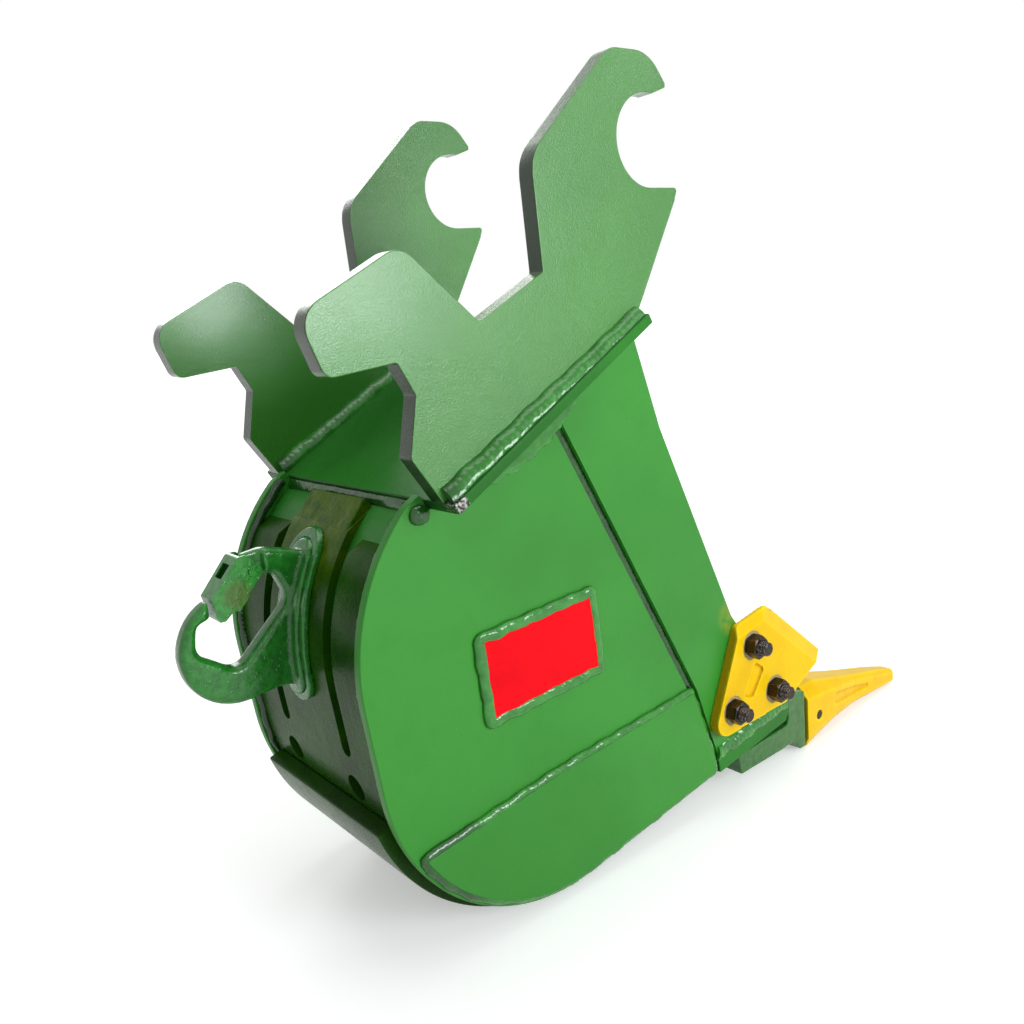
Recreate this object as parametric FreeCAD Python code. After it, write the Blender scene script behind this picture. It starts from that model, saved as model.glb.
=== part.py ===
import FreeCAD, Part
import math
import os

V = FreeCAD.Vector

# Frame of the part
# Origin on the axis of the coupler hooks, half way between the two ears.
# +X points forward to the teeth, +Y to the left side, +Z up, with the bucket standing on heel and teeth.

# Coupler ears (mm)
EAR_GAP = 282.0
EAR_T = 18.0
HOOK_R = 40.5
HOOK_TIP = (26.0, 49.5)
HOOK_CROWN_Z = 75.0
JAW_LENGTH = 35.0
ARM_BEND = (-141.5, -14.5)
NOTCH_TOP = (-139.0, -107.6)
NOTCH_ROOT = (-209.7, -142.5)
LOBE_TOP = (-276.5, -79.9)
LOBE_REAR = (-367.5, -123.8)
LOBE_FOOT = (-351.5, -170.7)
WAIST_TOP = (-291.0, -165.7)
WAIST_MID = (-277.8, -191.6)
WAIST_LOW = (-289.0, -239.6)
THROAT_TILT = 17.7
THROAT_START = 11.0

# Top plate, measured along its slope and square to it from the hook axis
TOP_PITCH = 28.9
TOP_DROP = 118.0
TOP_T = 10.0
TOP_REAR = -366.0
TOP_FRONT = -98.0
TOP_OVERHANG = 14.0

# Body: two side plates with a wrapper between them
BODY_WIDTH = 258.0
SIDE_T = 10.0
SHELL_R = 194.5
HEEL_FOOT = (-115.61, -695.77)
BACK_LEAN = 5.0
CROWN_RISE = 11.65
FLOOR_PITCH = 7.65
FLOOR_LENGTH = 203.0
EDGE_PROUD = 7.0
NIB_RISE = 6.0
WEAR_T = 8.0
WRAP_T = 10.0
HEEL_T = 16.0
HEEL_FROM = 197.0
HEEL_TO = 269.0
HEEL_GAP = 10.0

# Mouth, front bars and lip
MOUTH_BEND = (20.4, -264.5)
MOUTH_RAKE_UPPER = 17.4
MOUTH_RAKE = 23.2
MOUTH_KINK_Z = -490.0
MOUTH_TOP_ROUND = 12.0
SEAM_BEND = (54.0, -557.8)
SEAM_RAKE = 27.1
SEAM = 8.0
SEAM_SUNK = 1.5
BAR_PROUD = 3.0
BAR_T = 14.0
LIP_T = 25.0
LIP_LENGTH = 136.0
LIP_BEVEL = 10.0

# Slots and holes in the back wear plate
SLOT_Y = 60.0
SLOT_W = 15.0
SLOT_END_RISE = 4.0
DRAIN_AT = 191.1
DRAIN_R = 13.0
DRAIN_STEP = 3.0
PANEL_DROP = 8.0

# Lower side wear plates and name plate
SIDE_WEAR_T = 6.0
SIDE_WEAR_INSET = 9.0
SIDE_WEAR_REAR = (-297.5, -589.4)
SIDE_WEAR_MID = (-145.5, -571.0)
SIDE_WEAR_FRONT = (45.7, -557.3)
PLATE_CENTRE = (-154.5, -449.7)
PLATE_SIZE = (137.0, 80.0)
PLATE_T = 4.0
PLATE_TURN = 3.4

# Adapters, teeth and their pins
ADAPTER_INSET = 3.0
ADAPTER_W = 60.0
LEG_T = 26.0
LEG_REAR = 121.6
SADDLE_LENGTH = 84.0
SHOULDER_X = 255.0
SHOULDER_LOW = -703.0
SHOULDER_HIGH = -629.0
NOSE_LENGTH = 70.0
NOSE_W = 42.0
NOSE_TIP_W = 26.0
NOSE_TALL = 56.0
NOSE_TIP_TALL = 19.0
NOSE_TIP_RISE = 11.0
NOSE_GAP = 0.5
TOOTH_W = 64.0
TOOTH_LENGTH = 243.0
TOOTH_REAR_GAP = 3.0
TOOTH_FLOOR_Z = -706.3
TOOTH_PIN_R = 6.0
TOOTH_PIN_BACK = 27.0
TOOTH_PIN_Z = -671.6
PIN_CLEARANCE = 0.1

# Tooth sections: share of the length, share of the half width, height of belly, ridge and top, top width
TOOTH_SECTIONS = [(0.0, 1.0, 0.0, 64.0, 79.0, 0.60), (0.13, 0.95, 7.0, 61.0, 77.0, 0.58),
                  (0.28, 0.84, 12.0, 55.0, 67.0, 0.54), (0.52, 0.58, 11.0, 43.0, 51.0, 0.42),
                  (0.80, 0.42, 6.0, 27.0, 34.0, 0.32), (0.97, 0.34, 3.0, 17.0, 22.0, 0.24),
                  (1.0, 0.22, 6.0, 14.0, 18.0, 0.15)]
FLUTE_DEPTH = 2.5
FLUTE_FROM = (66.0, 41.0)
FLUTE_TO = (165.0, 24.0)
FLUTE_W = (17.0, 8.0)

# Side cutters and their bolts
CUTTER_T = 12.0
CUTTER_POCKET = 3.0
CUTTER_CORNERS = [("rear", -32.0, -16.0, 16.0), ("top", -20.0, 27.0, 9.0), ("top", 35.0, 36.0, 8.0),
                  ("top", 49.0, 27.0, 3.0), ("front", 105.0, 14.0, 2.0), ("front", 66.0, -3.0, 6.0),
                  ("front", 24.0, -24.0, 20.0), ("rear", -14.0, -27.0, 22.0)]
CUTTER_CORE = [(4.0, 22.0, 5.0), (-19.0, -14.0, 5.0), (-2.0, -18.0, 4.0), (20.0, 10.0, 5.0)]
BLADE_BEVEL = (20.0, 9.0)
TOP_BEVEL = (11.0, 6.0)
BOLT_FIRST = (136.9, -528.7)
BOLT_SIDE = 75.5
BOLT_R = 8.0
BOLT_HOLE_R = 8.75
NUT_AF = 24.0
NUT_H = 14.8
BOLT_HEAD_H = 10.0
BOLT_STICK_OUT = 10.0
SPOTFACE_R = 16.5
SPOTFACE_DEPTH = 2.0

# Lifting hook, latch and spring, drawn from the latch pivot
LATCH_STAND = 44.82
LATCH_AT = 157.26
LIFT_T = 20.0
LIFT_BOW = (-22.0, -64.0)
LIFT_BOW_R = 50.5
LIFT_ARM = [(-22.0, -114.5, 0.0), (18.0, -111.0, 40.0), (70.0, -136.0, 0.0), (70.0, -2.0, 0.0),
            (44.0, 8.0, 30.0), (16.0, 17.0, 30.0), (-8.0, 15.0, 6.0), (-8.0, -20.0, 0.0), (-22.0, -64.0, 0.0)]
LIFT_EYE = [(-54.0, -36.0, 7.0), (-58.0, -60.0, 13.0), (-24.0, -84.0, 13.0), (31.0, -34.0, 15.0),
            (19.0, -4.0, 9.0), (8.0, -8.0, 8.0), (-12.0, -12.0, 0.0), (-40.0, -32.0, 0.0)]
LIFT_MOUTH = [(-8.0, -8.0, 0.0), (-8.0, 30.0, 0.0), (-36.0, 30.0, 0.0), (-41.0, -16.0, 0.0),
              (-41.0, -33.0, 0.0), (-12.0, -33.0, 0.0)]
LIFT_FORGED = 4.0
LIFT_FOOT_W = 38.0
LIFT_FOOT_T = 9.0
LIFT_FOOT_RISE = 15.0
LIFT_FOOT_DROP = 125.0
LUG_W = 10.0
LUG_R = 10.0
LATCH_SHEET = 2.0
LATCH_PLAY = 0.8
LATCH_REACH = 51.0
LATCH_DEPTH = 19.5
LATCH_ANGLE = 224.5
LATCH_PIN_R = 3.0
SPRING_WIRE = 1.3
SPRING_TURNS = 3
SPRING_SIDES = 16
SPRING_GAP = 0.3
PIN_HEAD = 1.5

# Weld legs
EAR_WELD = 9.0
TOP_WELD = 8.0
TOP_WELD_REAR = -345.0
TOP_WELD_FRONT = -135.0
TOP_WELD_DEPTH = 32.0
TOP_WELD_T = 5.5
BACK_WELD = 5.0
PLATE_WELD = 5.0
HOOK_WELD = 8.0
LIP_BEAD = (12.0, 4.0)

# Worked out from the sizes above
BODY_HALF = BODY_WIDTH / 2
INNER_HALF = BODY_HALF - SIDE_T
EAR_IN = EAR_GAP / 2
EAR_OUT = EAR_IN + EAR_T
TOP_HALF = EAR_OUT + TOP_OVERHANG
PITCH = math.radians(TOP_PITCH)
FLOOR = math.radians(FLOOR_PITCH)
LEAN = math.radians(BACK_LEAN)
RAKE = math.radians(MOUTH_RAKE)
RAKE_UPPER = math.radians(MOUTH_RAKE_UPPER)
SEAM_SLOPE = math.tan(math.radians(SEAM_RAKE))
SEAM_RUN = SEAM / math.cos(math.radians(SEAM_RAKE))
WEAR_R = SHELL_R - EDGE_PROUD
WRAP_R = WEAR_R - WEAR_T
HEEL_R = WEAR_R + HEEL_T
BAR_OUT = BODY_HALF + BAR_PROUD
BAR_IN = BAR_OUT - BAR_T
LIP_END = FLOOR_LENGTH + LIP_LENGTH
TOP_UNDER = -TOP_DROP - TOP_T
TOOTH_Y = BAR_OUT - ADAPTER_INSET - ADAPTER_W / 2
TOOTH_REAR = SHOULDER_X + TOOTH_REAR_GAP
TOOTH_PIN = (TOOTH_REAR + TOOTH_PIN_BACK, TOOTH_PIN_Z)
NOSE_LOW = (SHOULDER_LOW + SHOULDER_HIGH - NOSE_TALL) / 2 - 1.0
LATCH_HALF = LIFT_T / 2 + LATCH_PLAY + LATCH_SHEET
FAR = 900.0


def on_top(along, above):
    """Point given along and square to the slope of the top plate, measured from the hook axis."""
    x = along * math.cos(PITCH) - above * math.sin(PITCH)
    z = along * math.sin(PITCH) + above * math.cos(PITCH)
    return (x, z)


def polar(centre, radius, degrees):
    """Point on a circle in the side view."""
    a = math.radians(degrees)
    return (centre[0] + radius * math.cos(a), centre[1] + radius * math.sin(a))


FLOOR_ANGLE = 270.0 + FLOOR_PITCH
BACK_ANGLE = 180.0 + BACK_LEAN
CROWN_ANGLE = 90.0 + TOP_PITCH


def on_floor(along, above):
    """Point given along the floor from where the heel arc ends, and square to it."""
    x = HEEL_FOOT[0] + along * math.cos(FLOOR) - above * math.sin(FLOOR)
    z = HEEL_FOOT[1] + along * math.sin(FLOOR) + above * math.cos(FLOOR)
    return (x, z)


def level(p):
    """How far a point is above the hook axis, square to the slope of the top plate."""
    return p[1] * math.cos(PITCH) - p[0] * math.sin(PITCH)


# The back stands on the heel and reaches up until its crown meets the top plate
HEEL_CENTRE = on_floor(0.0, SHELL_R)
CROWN_LEVEL = CROWN_RISE - TOP_DROP - SHELL_R
BACK_STRAIGHT = (CROWN_LEVEL - level(HEEL_CENTRE)) / math.cos(PITCH - LEAN)
CROWN_CENTRE = (HEEL_CENTRE[0] - BACK_STRAIGHT * math.sin(LEAN),
                HEEL_CENTRE[1] + BACK_STRAIGHT * math.cos(LEAN))
LATCH_PIVOT = polar(CROWN_CENTRE, SHELL_R + LATCH_STAND, LATCH_AT)


def mouth_x(z):
    """X of the mouth edge at a height."""
    rake = RAKE_UPPER if z > MOUTH_BEND[1] else RAKE
    return MOUTH_BEND[0] + (MOUTH_BEND[1] - z) * math.tan(rake)


def point(p, y=0.0):
    return V(p[0], y, p[1])


def plain(points):
    """Corners without a radius."""
    return [(x, z, 0) for x, z in points]


def rounded(corners):
    """Closed outline in the side view. Each corner is (x, z, radius)."""
    edges = []
    ends = []
    count = len(corners)
    for i in range(count):
        x, z, r = corners[i]
        here = V(x, 0, z)
        before = V(corners[i - 1][0], 0, corners[i - 1][1]) - here
        after = V(corners[(i + 1) % count][0], 0, corners[(i + 1) % count][1]) - here
        if r <= 0:
            ends.append((here, here, None))
            continue
        half = before.getAngle(after) / 2
        run = r / math.tan(half)
        before.normalize()
        after.normalize()
        way = before + after
        way.normalize()
        centre = here + way * (r / math.sin(half))
        ends.append((here + before * run, here + after * run, centre - way * r))
    for i in range(count):
        start, stop, middle = ends[i]
        if middle is not None:
            edges.append(Part.Arc(start, middle, stop).toShape())
        following = ends[(i + 1) % count][0]
        if stop.distanceToPoint(following) > 1e-6:
            edges.append(Part.LineSegment(stop, following).toShape())
    return Part.Face(Part.Wire(edges))


def slab(face, y0, y1):
    """Extrude a side-view face between two widths."""
    low, high = min(y0, y1), max(y0, y1)
    body = face.extrude(V(0, high - low, 0))
    body.translate(V(0, low, 0))
    return body


def block(x0, x1, y0, y1, z0, z1):
    return Part.makeBox(x1 - x0, y1 - y0, z1 - z0, V(x0, y0, z0))


def rod(p, radius, y0, y1):
    """Round bar across the bucket."""
    return Part.makeCylinder(radius, abs(y1 - y0), V(p[0], min(y0, y1), p[1]), V(0, 1, 0))


def mirrored(shape):
    return shape.mirror(V(0, 0, 0), V(0, 1, 0))


def on_side(shape, side):
    """Shape drawn for the left side, or its mirror image for the right."""
    return shape if side > 0 else mirrored(shape)


def flat_face(points):
    return Part.Face(Part.makePolygon(points + [points[0]]))


def loft(sections):
    """Flat-sided solid through rings of points. A side that would twist is folded along its diagonal."""
    faces = [flat_face(sections[0]), flat_face(sections[-1])]
    for ring, following in zip(sections[:-1], sections[1:]):
        for i in range(len(ring)):
            a, b, c, d = ring[i - 1], ring[i], following[i], following[i - 1]
            across = (b - a).cross(c - a)
            twist = abs(across.dot(d - a)) / across.Length
            faces += [flat_face([a, b, c, d])] if twist < 1e-6 else [flat_face([a, b, c]), flat_face([a, c, d])]
    return Part.Solid(Part.Shell(faces))


def round_across(shape, spots, radius):
    """Fillet the edges that run across the bucket through the given side-view points."""
    picked = []
    for edge in shape.Edges:
        ends = [v.Point for v in edge.Vertexes]
        if len(ends) != 2 or abs(ends[0].y - ends[1].y) < 1.0:
            continue
        for x, z in spots:
            if all(math.hypot(p.x - x, p.z - z) < 0.5 for p in ends):
                picked.append(edge)
                break
    return shape.makeFillet(radius, picked)


def top_slab(along0, along1, above0, above1, y0, y1):
    """Box laid on the slope of the top plate."""
    corners = [on_top(along0, above0), on_top(along1, above0), on_top(along1, above1), on_top(along0, above1)]
    return slab(rounded(plain(corners)), y0, y1)


def arc_edge(centre, radius, a0, a1):
    middle = polar(centre, radius, (a0 + a1) / 2)
    return Part.Arc(point(polar(centre, radius, a0)), point(middle), point(polar(centre, radius, a1))).toShape()


def line_edge(p, q):
    return Part.LineSegment(point(p), point(q)).toShape()


def back_edges(radius, from_angle):
    """Crown arc, straight back and heel arc at one radius, from the top plate to the floor."""
    return [arc_edge(CROWN_CENTRE, radius, from_angle, BACK_ANGLE),
            line_edge(polar(CROWN_CENTRE, radius, BACK_ANGLE), polar(HEEL_CENTRE, radius, BACK_ANGLE)),
            arc_edge(HEEL_CENTRE, radius, BACK_ANGLE, FLOOR_ANGLE)]


def closed(edges):
    """Face inside edges that may come in any order."""
    return Part.Face(Part.Wire(Part.__sortEdges__(edges)))


def wrapped_plate(outer, inner):
    """Plate bent round the back between the side plates, from the top plate to the lip."""
    out_end, in_end = on_floor(FLOOR_LENGTH, SHELL_R - outer), on_floor(FLOOR_LENGTH, SHELL_R - inner)
    edges = back_edges(outer, CROWN_ANGLE) + back_edges(inner, CROWN_ANGLE)
    edges += [line_edge(polar(HEEL_CENTRE, outer, FLOOR_ANGLE), out_end), line_edge(out_end, in_end),
              line_edge(in_end, polar(HEEL_CENTRE, inner, FLOOR_ANGLE)),
              line_edge(polar(CROWN_CENTRE, inner, CROWN_ANGLE), polar(CROWN_CENTRE, outer, CROWN_ANGLE))]
    body = slab(closed(edges), -INNER_HALF, INNER_HALF)
    return body.cut(top_slab(TOP_REAR - SHELL_R, 0, TOP_UNDER, SHELL_R, -BODY_WIDTH, BODY_WIDTH))


# Top plate
def top_plate():
    return top_slab(TOP_REAR, TOP_FRONT, TOP_UNDER, -TOP_DROP, -TOP_HALF, TOP_HALF)


# Coupler ears
def throat_point(x):
    """Point on the underside of the hook tip, ahead of the hook axis."""
    start = polar((0, 0), HOOK_R, 90.0 - THROAT_START)
    return (x, start[1] + (x - start[0]) * math.tan(math.radians(THROAT_TILT)))


def ear_profile():
    foot_rear = on_top(TOP_REAR, -TOP_DROP)
    foot_front = on_top(TOP_FRONT, -TOP_DROP)
    crown_x = ARM_BEND[0] + (HOOK_CROWN_Z - ARM_BEND[1]) * 1.1
    outline = rounded([
        (foot_front[0], foot_front[1], 0),
        (JAW_LENGTH - 4.0, -HOOK_R - 11.0, 14),
        (JAW_LENGTH, -HOOK_R, 0),
        (HOOK_TIP[0], HOOK_TIP[1] - 8.0, 0),
        (HOOK_TIP[0], HOOK_TIP[1], 0),
        (HOOK_TIP[0] - 20.0, HOOK_CROWN_Z, 36),
        (crown_x, HOOK_CROWN_Z, 26),
        (ARM_BEND[0], ARM_BEND[1], 34),
        (NOTCH_TOP[0], NOTCH_TOP[1], 3),
        (NOTCH_ROOT[0], NOTCH_ROOT[1], 7),
        (LOBE_TOP[0], LOBE_TOP[1], 20),
        (LOBE_REAR[0], LOBE_REAR[1], 22),
        (LOBE_FOOT[0], LOBE_FOOT[1], 10),
        (WAIST_TOP[0], WAIST_TOP[1], 3),
        (WAIST_MID[0], WAIST_MID[1], 5),
        (WAIST_LOW[0], WAIST_LOW[1], 5),
        (foot_rear[0], foot_rear[1], 0)])
    reach = 2 * JAW_LENGTH
    start = polar((0, 0), HOOK_R, 90.0 - THROAT_START)
    throat = rounded(plain([(0, -HOOK_R), (reach, -HOOK_R), throat_point(reach), start, (0, 0)]))
    circle = Part.Face(Part.Wire(Part.Circle(V(0, 0, 0), V(0, 1, 0), HOOK_R).toShape()))
    return outline.cut(circle.fuse(throat))


def ear(side):
    plate = slab(ear_profile(), EAR_IN, EAR_OUT)
    plate = round_across(plate, [(JAW_LENGTH, -HOOK_R)], 3.0)
    plate = round_across(plate, [throat_point(HOOK_TIP[0])], 1.0)
    return on_side(plate, side)


# Body plates
def mouth_top(inset):
    """Corner where the mouth edge meets the underside of the top plate."""
    bend = (MOUTH_BEND[0] - inset, MOUTH_BEND[1])
    rise = (TOP_UNDER - inset - level(bend)) / (math.cos(PITCH) + math.tan(RAKE_UPPER) * math.sin(PITCH))
    return (bend[0] - rise * math.tan(RAKE_UPPER), bend[1] + rise)


def side_outline(inset):
    """Outline of a whole side, drawn inset mm inside the true edge."""
    r = SHELL_R - inset
    nib_level = -TOP_DROP + NIB_RISE - inset
    nib_angle = CROWN_ANGLE + math.degrees(math.acos((nib_level - CROWN_LEVEL) / r))
    corners = [on_floor(FLOOR_LENGTH, inset), on_floor(FLOOR_LENGTH, LIP_T + inset),
               on_floor(LIP_END - 4.0 - inset, LIP_T + inset), (mouth_x(MOUTH_KINK_Z) - inset, MOUTH_KINK_Z),
               (MOUTH_BEND[0] - inset, MOUTH_BEND[1]), mouth_top(inset), on_top(TOP_REAR - inset, TOP_UNDER - inset),
               on_top(TOP_REAR - inset, nib_level), polar(CROWN_CENTRE, r, nib_angle)]
    edges = back_edges(r, nib_angle)
    edges.append(line_edge(polar(HEEL_CENTRE, r, FLOOR_ANGLE), corners[0]))
    edges += [line_edge(p, q) for p, q in zip(corners[:-1], corners[1:])]
    return closed(edges)


def behind_seam(gap):
    """Everything behind the rear edge of the front bar, less a gap."""
    x, z = SEAM_BEND
    high, low = on_floor(FLOOR_LENGTH, LIP_T), on_floor(FLOOR_LENGTH, 0)
    end = on_floor(FLOOR_LENGTH, -FAR)
    line = [(x - FAR * SEAM_SLOPE, z + FAR), (x, z), high, low, end]
    return rounded(plain([(-3 * FAR, z + FAR)] + [(px - gap, pz) for px, pz in line] + [(-3 * FAR, end[1])]))


def side_plate(side):
    return on_side(slab(side_outline(0.0).common(behind_seam(SEAM_RUN)), INNER_HALF, BODY_HALF), side)


def bolt_points():
    """Three bolt axes of a side cutter, at the corners of an equal-sided triangle."""
    x, z = BOLT_FIRST
    drop = BOLT_SIDE * math.sqrt(3) / 2
    return [(x, z), (x - BOLT_SIDE / 2, z - drop), (x + BOLT_SIDE / 2, z - drop)]


def side_bar(side):
    """Thicker front bar of the side, drilled for the side cutter."""
    plate = slab(side_outline(0.0).cut(behind_seam(0.0)), BAR_IN, BAR_OUT)
    plate = round_across(plate, [mouth_top(0.0)], MOUTH_TOP_ROUND)
    for p in bolt_points():
        plate = plate.cut(rod(p, BOLT_HOLE_R, BAR_IN - 1, BAR_OUT + 1))
    return on_side(plate, side)


def side_seam(side):
    """Weld that fills the groove between side plate and front bar, a little below both faces."""
    face = side_outline(0.0).common(behind_seam(0.0)).cut(behind_seam(SEAM_RUN))
    return on_side(slab(face, INNER_HALF, BODY_HALF - SEAM_SUNK), side)


def hole_in_back(y, radius):
    """Round hole square to the heel curve."""
    start = polar(HEEL_CENTRE, WRAP_R - 3 * WRAP_T, DRAIN_AT)
    stop = polar(HEEL_CENTRE, WEAR_R + 2 * HEEL_T, DRAIN_AT)
    way = point(stop) - point(start)
    return Part.makeCylinder(radius, way.Length, point(start, y), way)


def shell():
    """Inner wrapper from the top plate round the back into the floor, with two drain holes."""
    body = wrapped_plate(WRAP_R, WRAP_R - WRAP_T)
    for y in (-SLOT_Y, SLOT_Y):
        body = body.cut(hole_in_back(y, DRAIN_R - DRAIN_STEP))
    return body


def back_wear_plate():
    """Doubler round the outside of the wrapper, with long slots for plug welds."""
    body = wrapped_plate(WEAR_R, WRAP_R)
    rear, front = HEEL_CENTRE[0] - 2 * SHELL_R, CROWN_CENTRE[0] - SHELL_R / 4
    low = HEEL_CENTRE[1] + SLOT_END_RISE
    for y in (-SLOT_Y, SLOT_Y):
        slot = block(rear, front, y - SLOT_W / 2, y + SLOT_W / 2, low, 0)
        end = Part.makeCylinder(SLOT_W / 2, front - rear, V(rear, y, low), V(1, 0, 0))
        body = body.cut(slot.fuse(end)).cut(hole_in_back(y, DRAIN_R))
    for side in (-1, 1):
        drop = top_slab(TOP_REAR - SHELL_R, 0, TOP_UNDER - PANEL_DROP, SHELL_R, SLOT_Y, BODY_HALF)
        body = body.cut(on_side(drop, side))
    return body


def heel_wear_strip():
    """Strip across the heel, on top of the back wear plate. The bucket stands on it."""
    edges = [arc_edge(HEEL_CENTRE, HEEL_R, HEEL_FROM, HEEL_TO),
             line_edge(polar(HEEL_CENTRE, HEEL_R, HEEL_TO), polar(HEEL_CENTRE, WEAR_R, HEEL_TO)),
             arc_edge(HEEL_CENTRE, WEAR_R, HEEL_TO, HEEL_FROM),
             line_edge(polar(HEEL_CENTRE, WEAR_R, HEEL_FROM), polar(HEEL_CENTRE, HEEL_R, HEEL_FROM))]
    return slab(closed(edges), HEEL_GAP - INNER_HALF, INNER_HALF - HEEL_GAP)


def lip_plate():
    """Thick cutting lip with a bevelled front edge, under the floor and both side bars."""
    corners = [on_floor(FLOOR_LENGTH, 0), on_floor(LIP_END - LIP_BEVEL, 0), on_floor(LIP_END, LIP_BEVEL),
               on_floor(LIP_END, LIP_T), on_floor(FLOOR_LENGTH, LIP_T)]
    return slab(rounded(plain(corners)), -BAR_OUT, BAR_OUT)


def side_wear_face(grow):
    """Side view of the lower side wear plate, from the heel to the front bar."""
    rear, mid, front = SIDE_WEAR_REAR, SIDE_WEAR_MID, SIDE_WEAR_FRONT
    slope = (front[1] - mid[1]) / (front[0] - mid[0])
    rear_slope = (mid[1] - rear[1]) / (mid[0] - rear[0])
    below = rounded(plain([(rear[0] - FAR, rear[1] - FAR * rear_slope + grow), (rear[0] - FAR, -2 * FAR),
                           (FAR, -2 * FAR), (FAR, front[1] + (FAR - front[0]) * slope + grow),
                           (mid[0], mid[1] + grow)]))
    return side_outline(SIDE_WEAR_INSET - grow).common(below).common(behind_seam(SEAM_RUN - grow))


def side_wear_plate(side):
    return on_side(slab(side_wear_face(0.0), BODY_HALF, BODY_HALF + SIDE_WEAR_T), side)


def name_face(grow):
    w, h = PLATE_SIZE[0] / 2 + grow, PLATE_SIZE[1] / 2 + grow
    face = rounded([(-w, -h, 3 + grow), (w, -h, 3 + grow), (w, h, 3 + grow), (-w, h, 3 + grow)])
    face.rotate(V(0, 0, 0), V(0, -1, 0), PLATE_TURN)
    face.translate(point(PLATE_CENTRE))
    return face


def name_plate():
    """Plain plate on the right side of the body."""
    return slab(name_face(0.0), -BODY_HALF - PLATE_T, -BODY_HALF)


# Welds
def fillet_bar(start, end, way_a, way_b, leg):
    """Convex fillet weld of one leg length along a straight line between two faces."""
    a = V(way_a)
    b = V(way_b)
    a.normalize()
    b.normalize()
    p0 = V(start)
    pa, pb = p0 + a * leg, p0 + b * leg
    bulge = p0 + (a + b) * (leg * 0.6)
    wire = Part.Wire([Part.LineSegment(p0, pa).toShape(), Part.Arc(pa, bulge, pb).toShape(),
                      Part.LineSegment(pb, p0).toShape()])
    return Part.Face(wire).extrude(V(end) - p0)


def edge_weld(face_at, y_foot, y_head, leg):
    """Sloping bead all round a plate that lies on a side of the body."""
    foot, head = face_at(leg).Faces[0].OuterWire, face_at(0.0).Faces[0].OuterWire
    foot.translate(V(0, y_foot, 0))
    head.translate(V(0, y_head, 0))
    return Part.makeLoft([foot, head], True, True)


def ear_welds():
    """Fillet welds along both faces of each ear's foot."""
    up = V(-math.sin(PITCH), 0, math.cos(PITCH))
    rear, front = on_top(TOP_REAR + 6, -TOP_DROP), on_top(TOP_FRONT - 3, -TOP_DROP)
    beads = []
    for y, out in ((EAR_OUT, 1), (EAR_IN, -1)):
        bead = fillet_bar(point(rear, y), point(front, y), V(0, out, 0), up, EAR_WELD)
        beads += [bead, mirrored(bead)]
    return Part.makeCompound(beads)


def top_plate_welds():
    """Broad bellied welds under the top plate on the side plates, and a fillet across behind it."""
    down = V(math.sin(PITCH), 0, -math.cos(PITCH))
    back = V(-math.cos(PITCH), 0, -math.sin(PITCH))
    rear, front = on_top(TOP_WELD_REAR, TOP_UNDER), on_top(TOP_WELD_FRONT, TOP_UNDER)
    bead = fillet_bar(point(rear, BODY_HALF), point(front, BODY_HALF), V(0, 1, 0), down, TOP_WELD)
    belly = on_top((TOP_WELD_REAR + TOP_WELD_FRONT) / 2, TOP_UNDER - TOP_WELD_DEPTH)
    lens = closed([Part.Arc(point(rear), point(belly), point(front)).toShape(), line_edge(rear, front)])
    bead = bead.fuse(slab(lens, BODY_HALF, BODY_HALF + TOP_WELD_T)).cut(side_bar(1)).removeSplitter()
    corner = on_top(TOP_REAR, TOP_UNDER)
    across = fillet_bar(point(corner, -INNER_HALF), point(corner, INNER_HALF), back, V(0, 0, 0) - down, TOP_WELD)
    return Part.makeCompound([bead, mirrored(bead), across])


def back_welds():
    """Fillet welds along both edges of the back wear plate, where it meets the side plates."""
    start = point(polar(CROWN_CENTRE, WEAR_R, CROWN_ANGLE), INNER_HALF)
    outward = start - point(CROWN_CENTRE, INNER_HALF)
    outward.normalize()
    ring = [start, start + outward * BACK_WELD, start + V(0, -BACK_WELD, 0)]
    path = Part.Wire(Part.__sortEdges__(back_edges(WEAR_R, CROWN_ANGLE)))
    path.translate(V(0, INNER_HALF, 0))
    bead = path.makePipeShell([Part.makePolygon(ring + [ring[0]])], True, False)
    bead = bead.cut(top_slab(TOP_REAR - SHELL_R, 0, TOP_UNDER - PANEL_DROP, SHELL_R, -BODY_WIDTH, BODY_WIDTH))
    return Part.makeCompound([bead, mirrored(bead)])


def wear_plate_welds():
    """Bead round each lower side wear plate."""
    bead = edge_weld(side_wear_face, BODY_HALF, BODY_HALF + SIDE_WEAR_T, PLATE_WELD).cut(side_wear_plate(1))
    return Part.makeCompound([bead, mirrored(bead)])


def name_plate_welds():
    """Bead round the name plate."""
    return edge_weld(name_face, -BODY_HALF, -BODY_HALF - PLATE_T, PLATE_WELD).cut(name_plate())


def lip_welds():
    """Bead along each side, where the front bar stands on the lip."""
    start, stop = point(on_floor(FLOOR_LENGTH, LIP_T)), point(on_floor(LIP_END - 6.0, LIP_T))
    radius, proud = LIP_BEAD
    shift = V(0, BAR_OUT + proud - radius, 0)
    bead = Part.makeCylinder(radius, (stop - start).Length, start + shift, stop - start)
    bead = bead.common(block(-FAR, FAR, BAR_OUT, BAR_OUT + proud, -FAR, 0))
    return Part.makeCompound([bead, mirrored(bead)])


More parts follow.
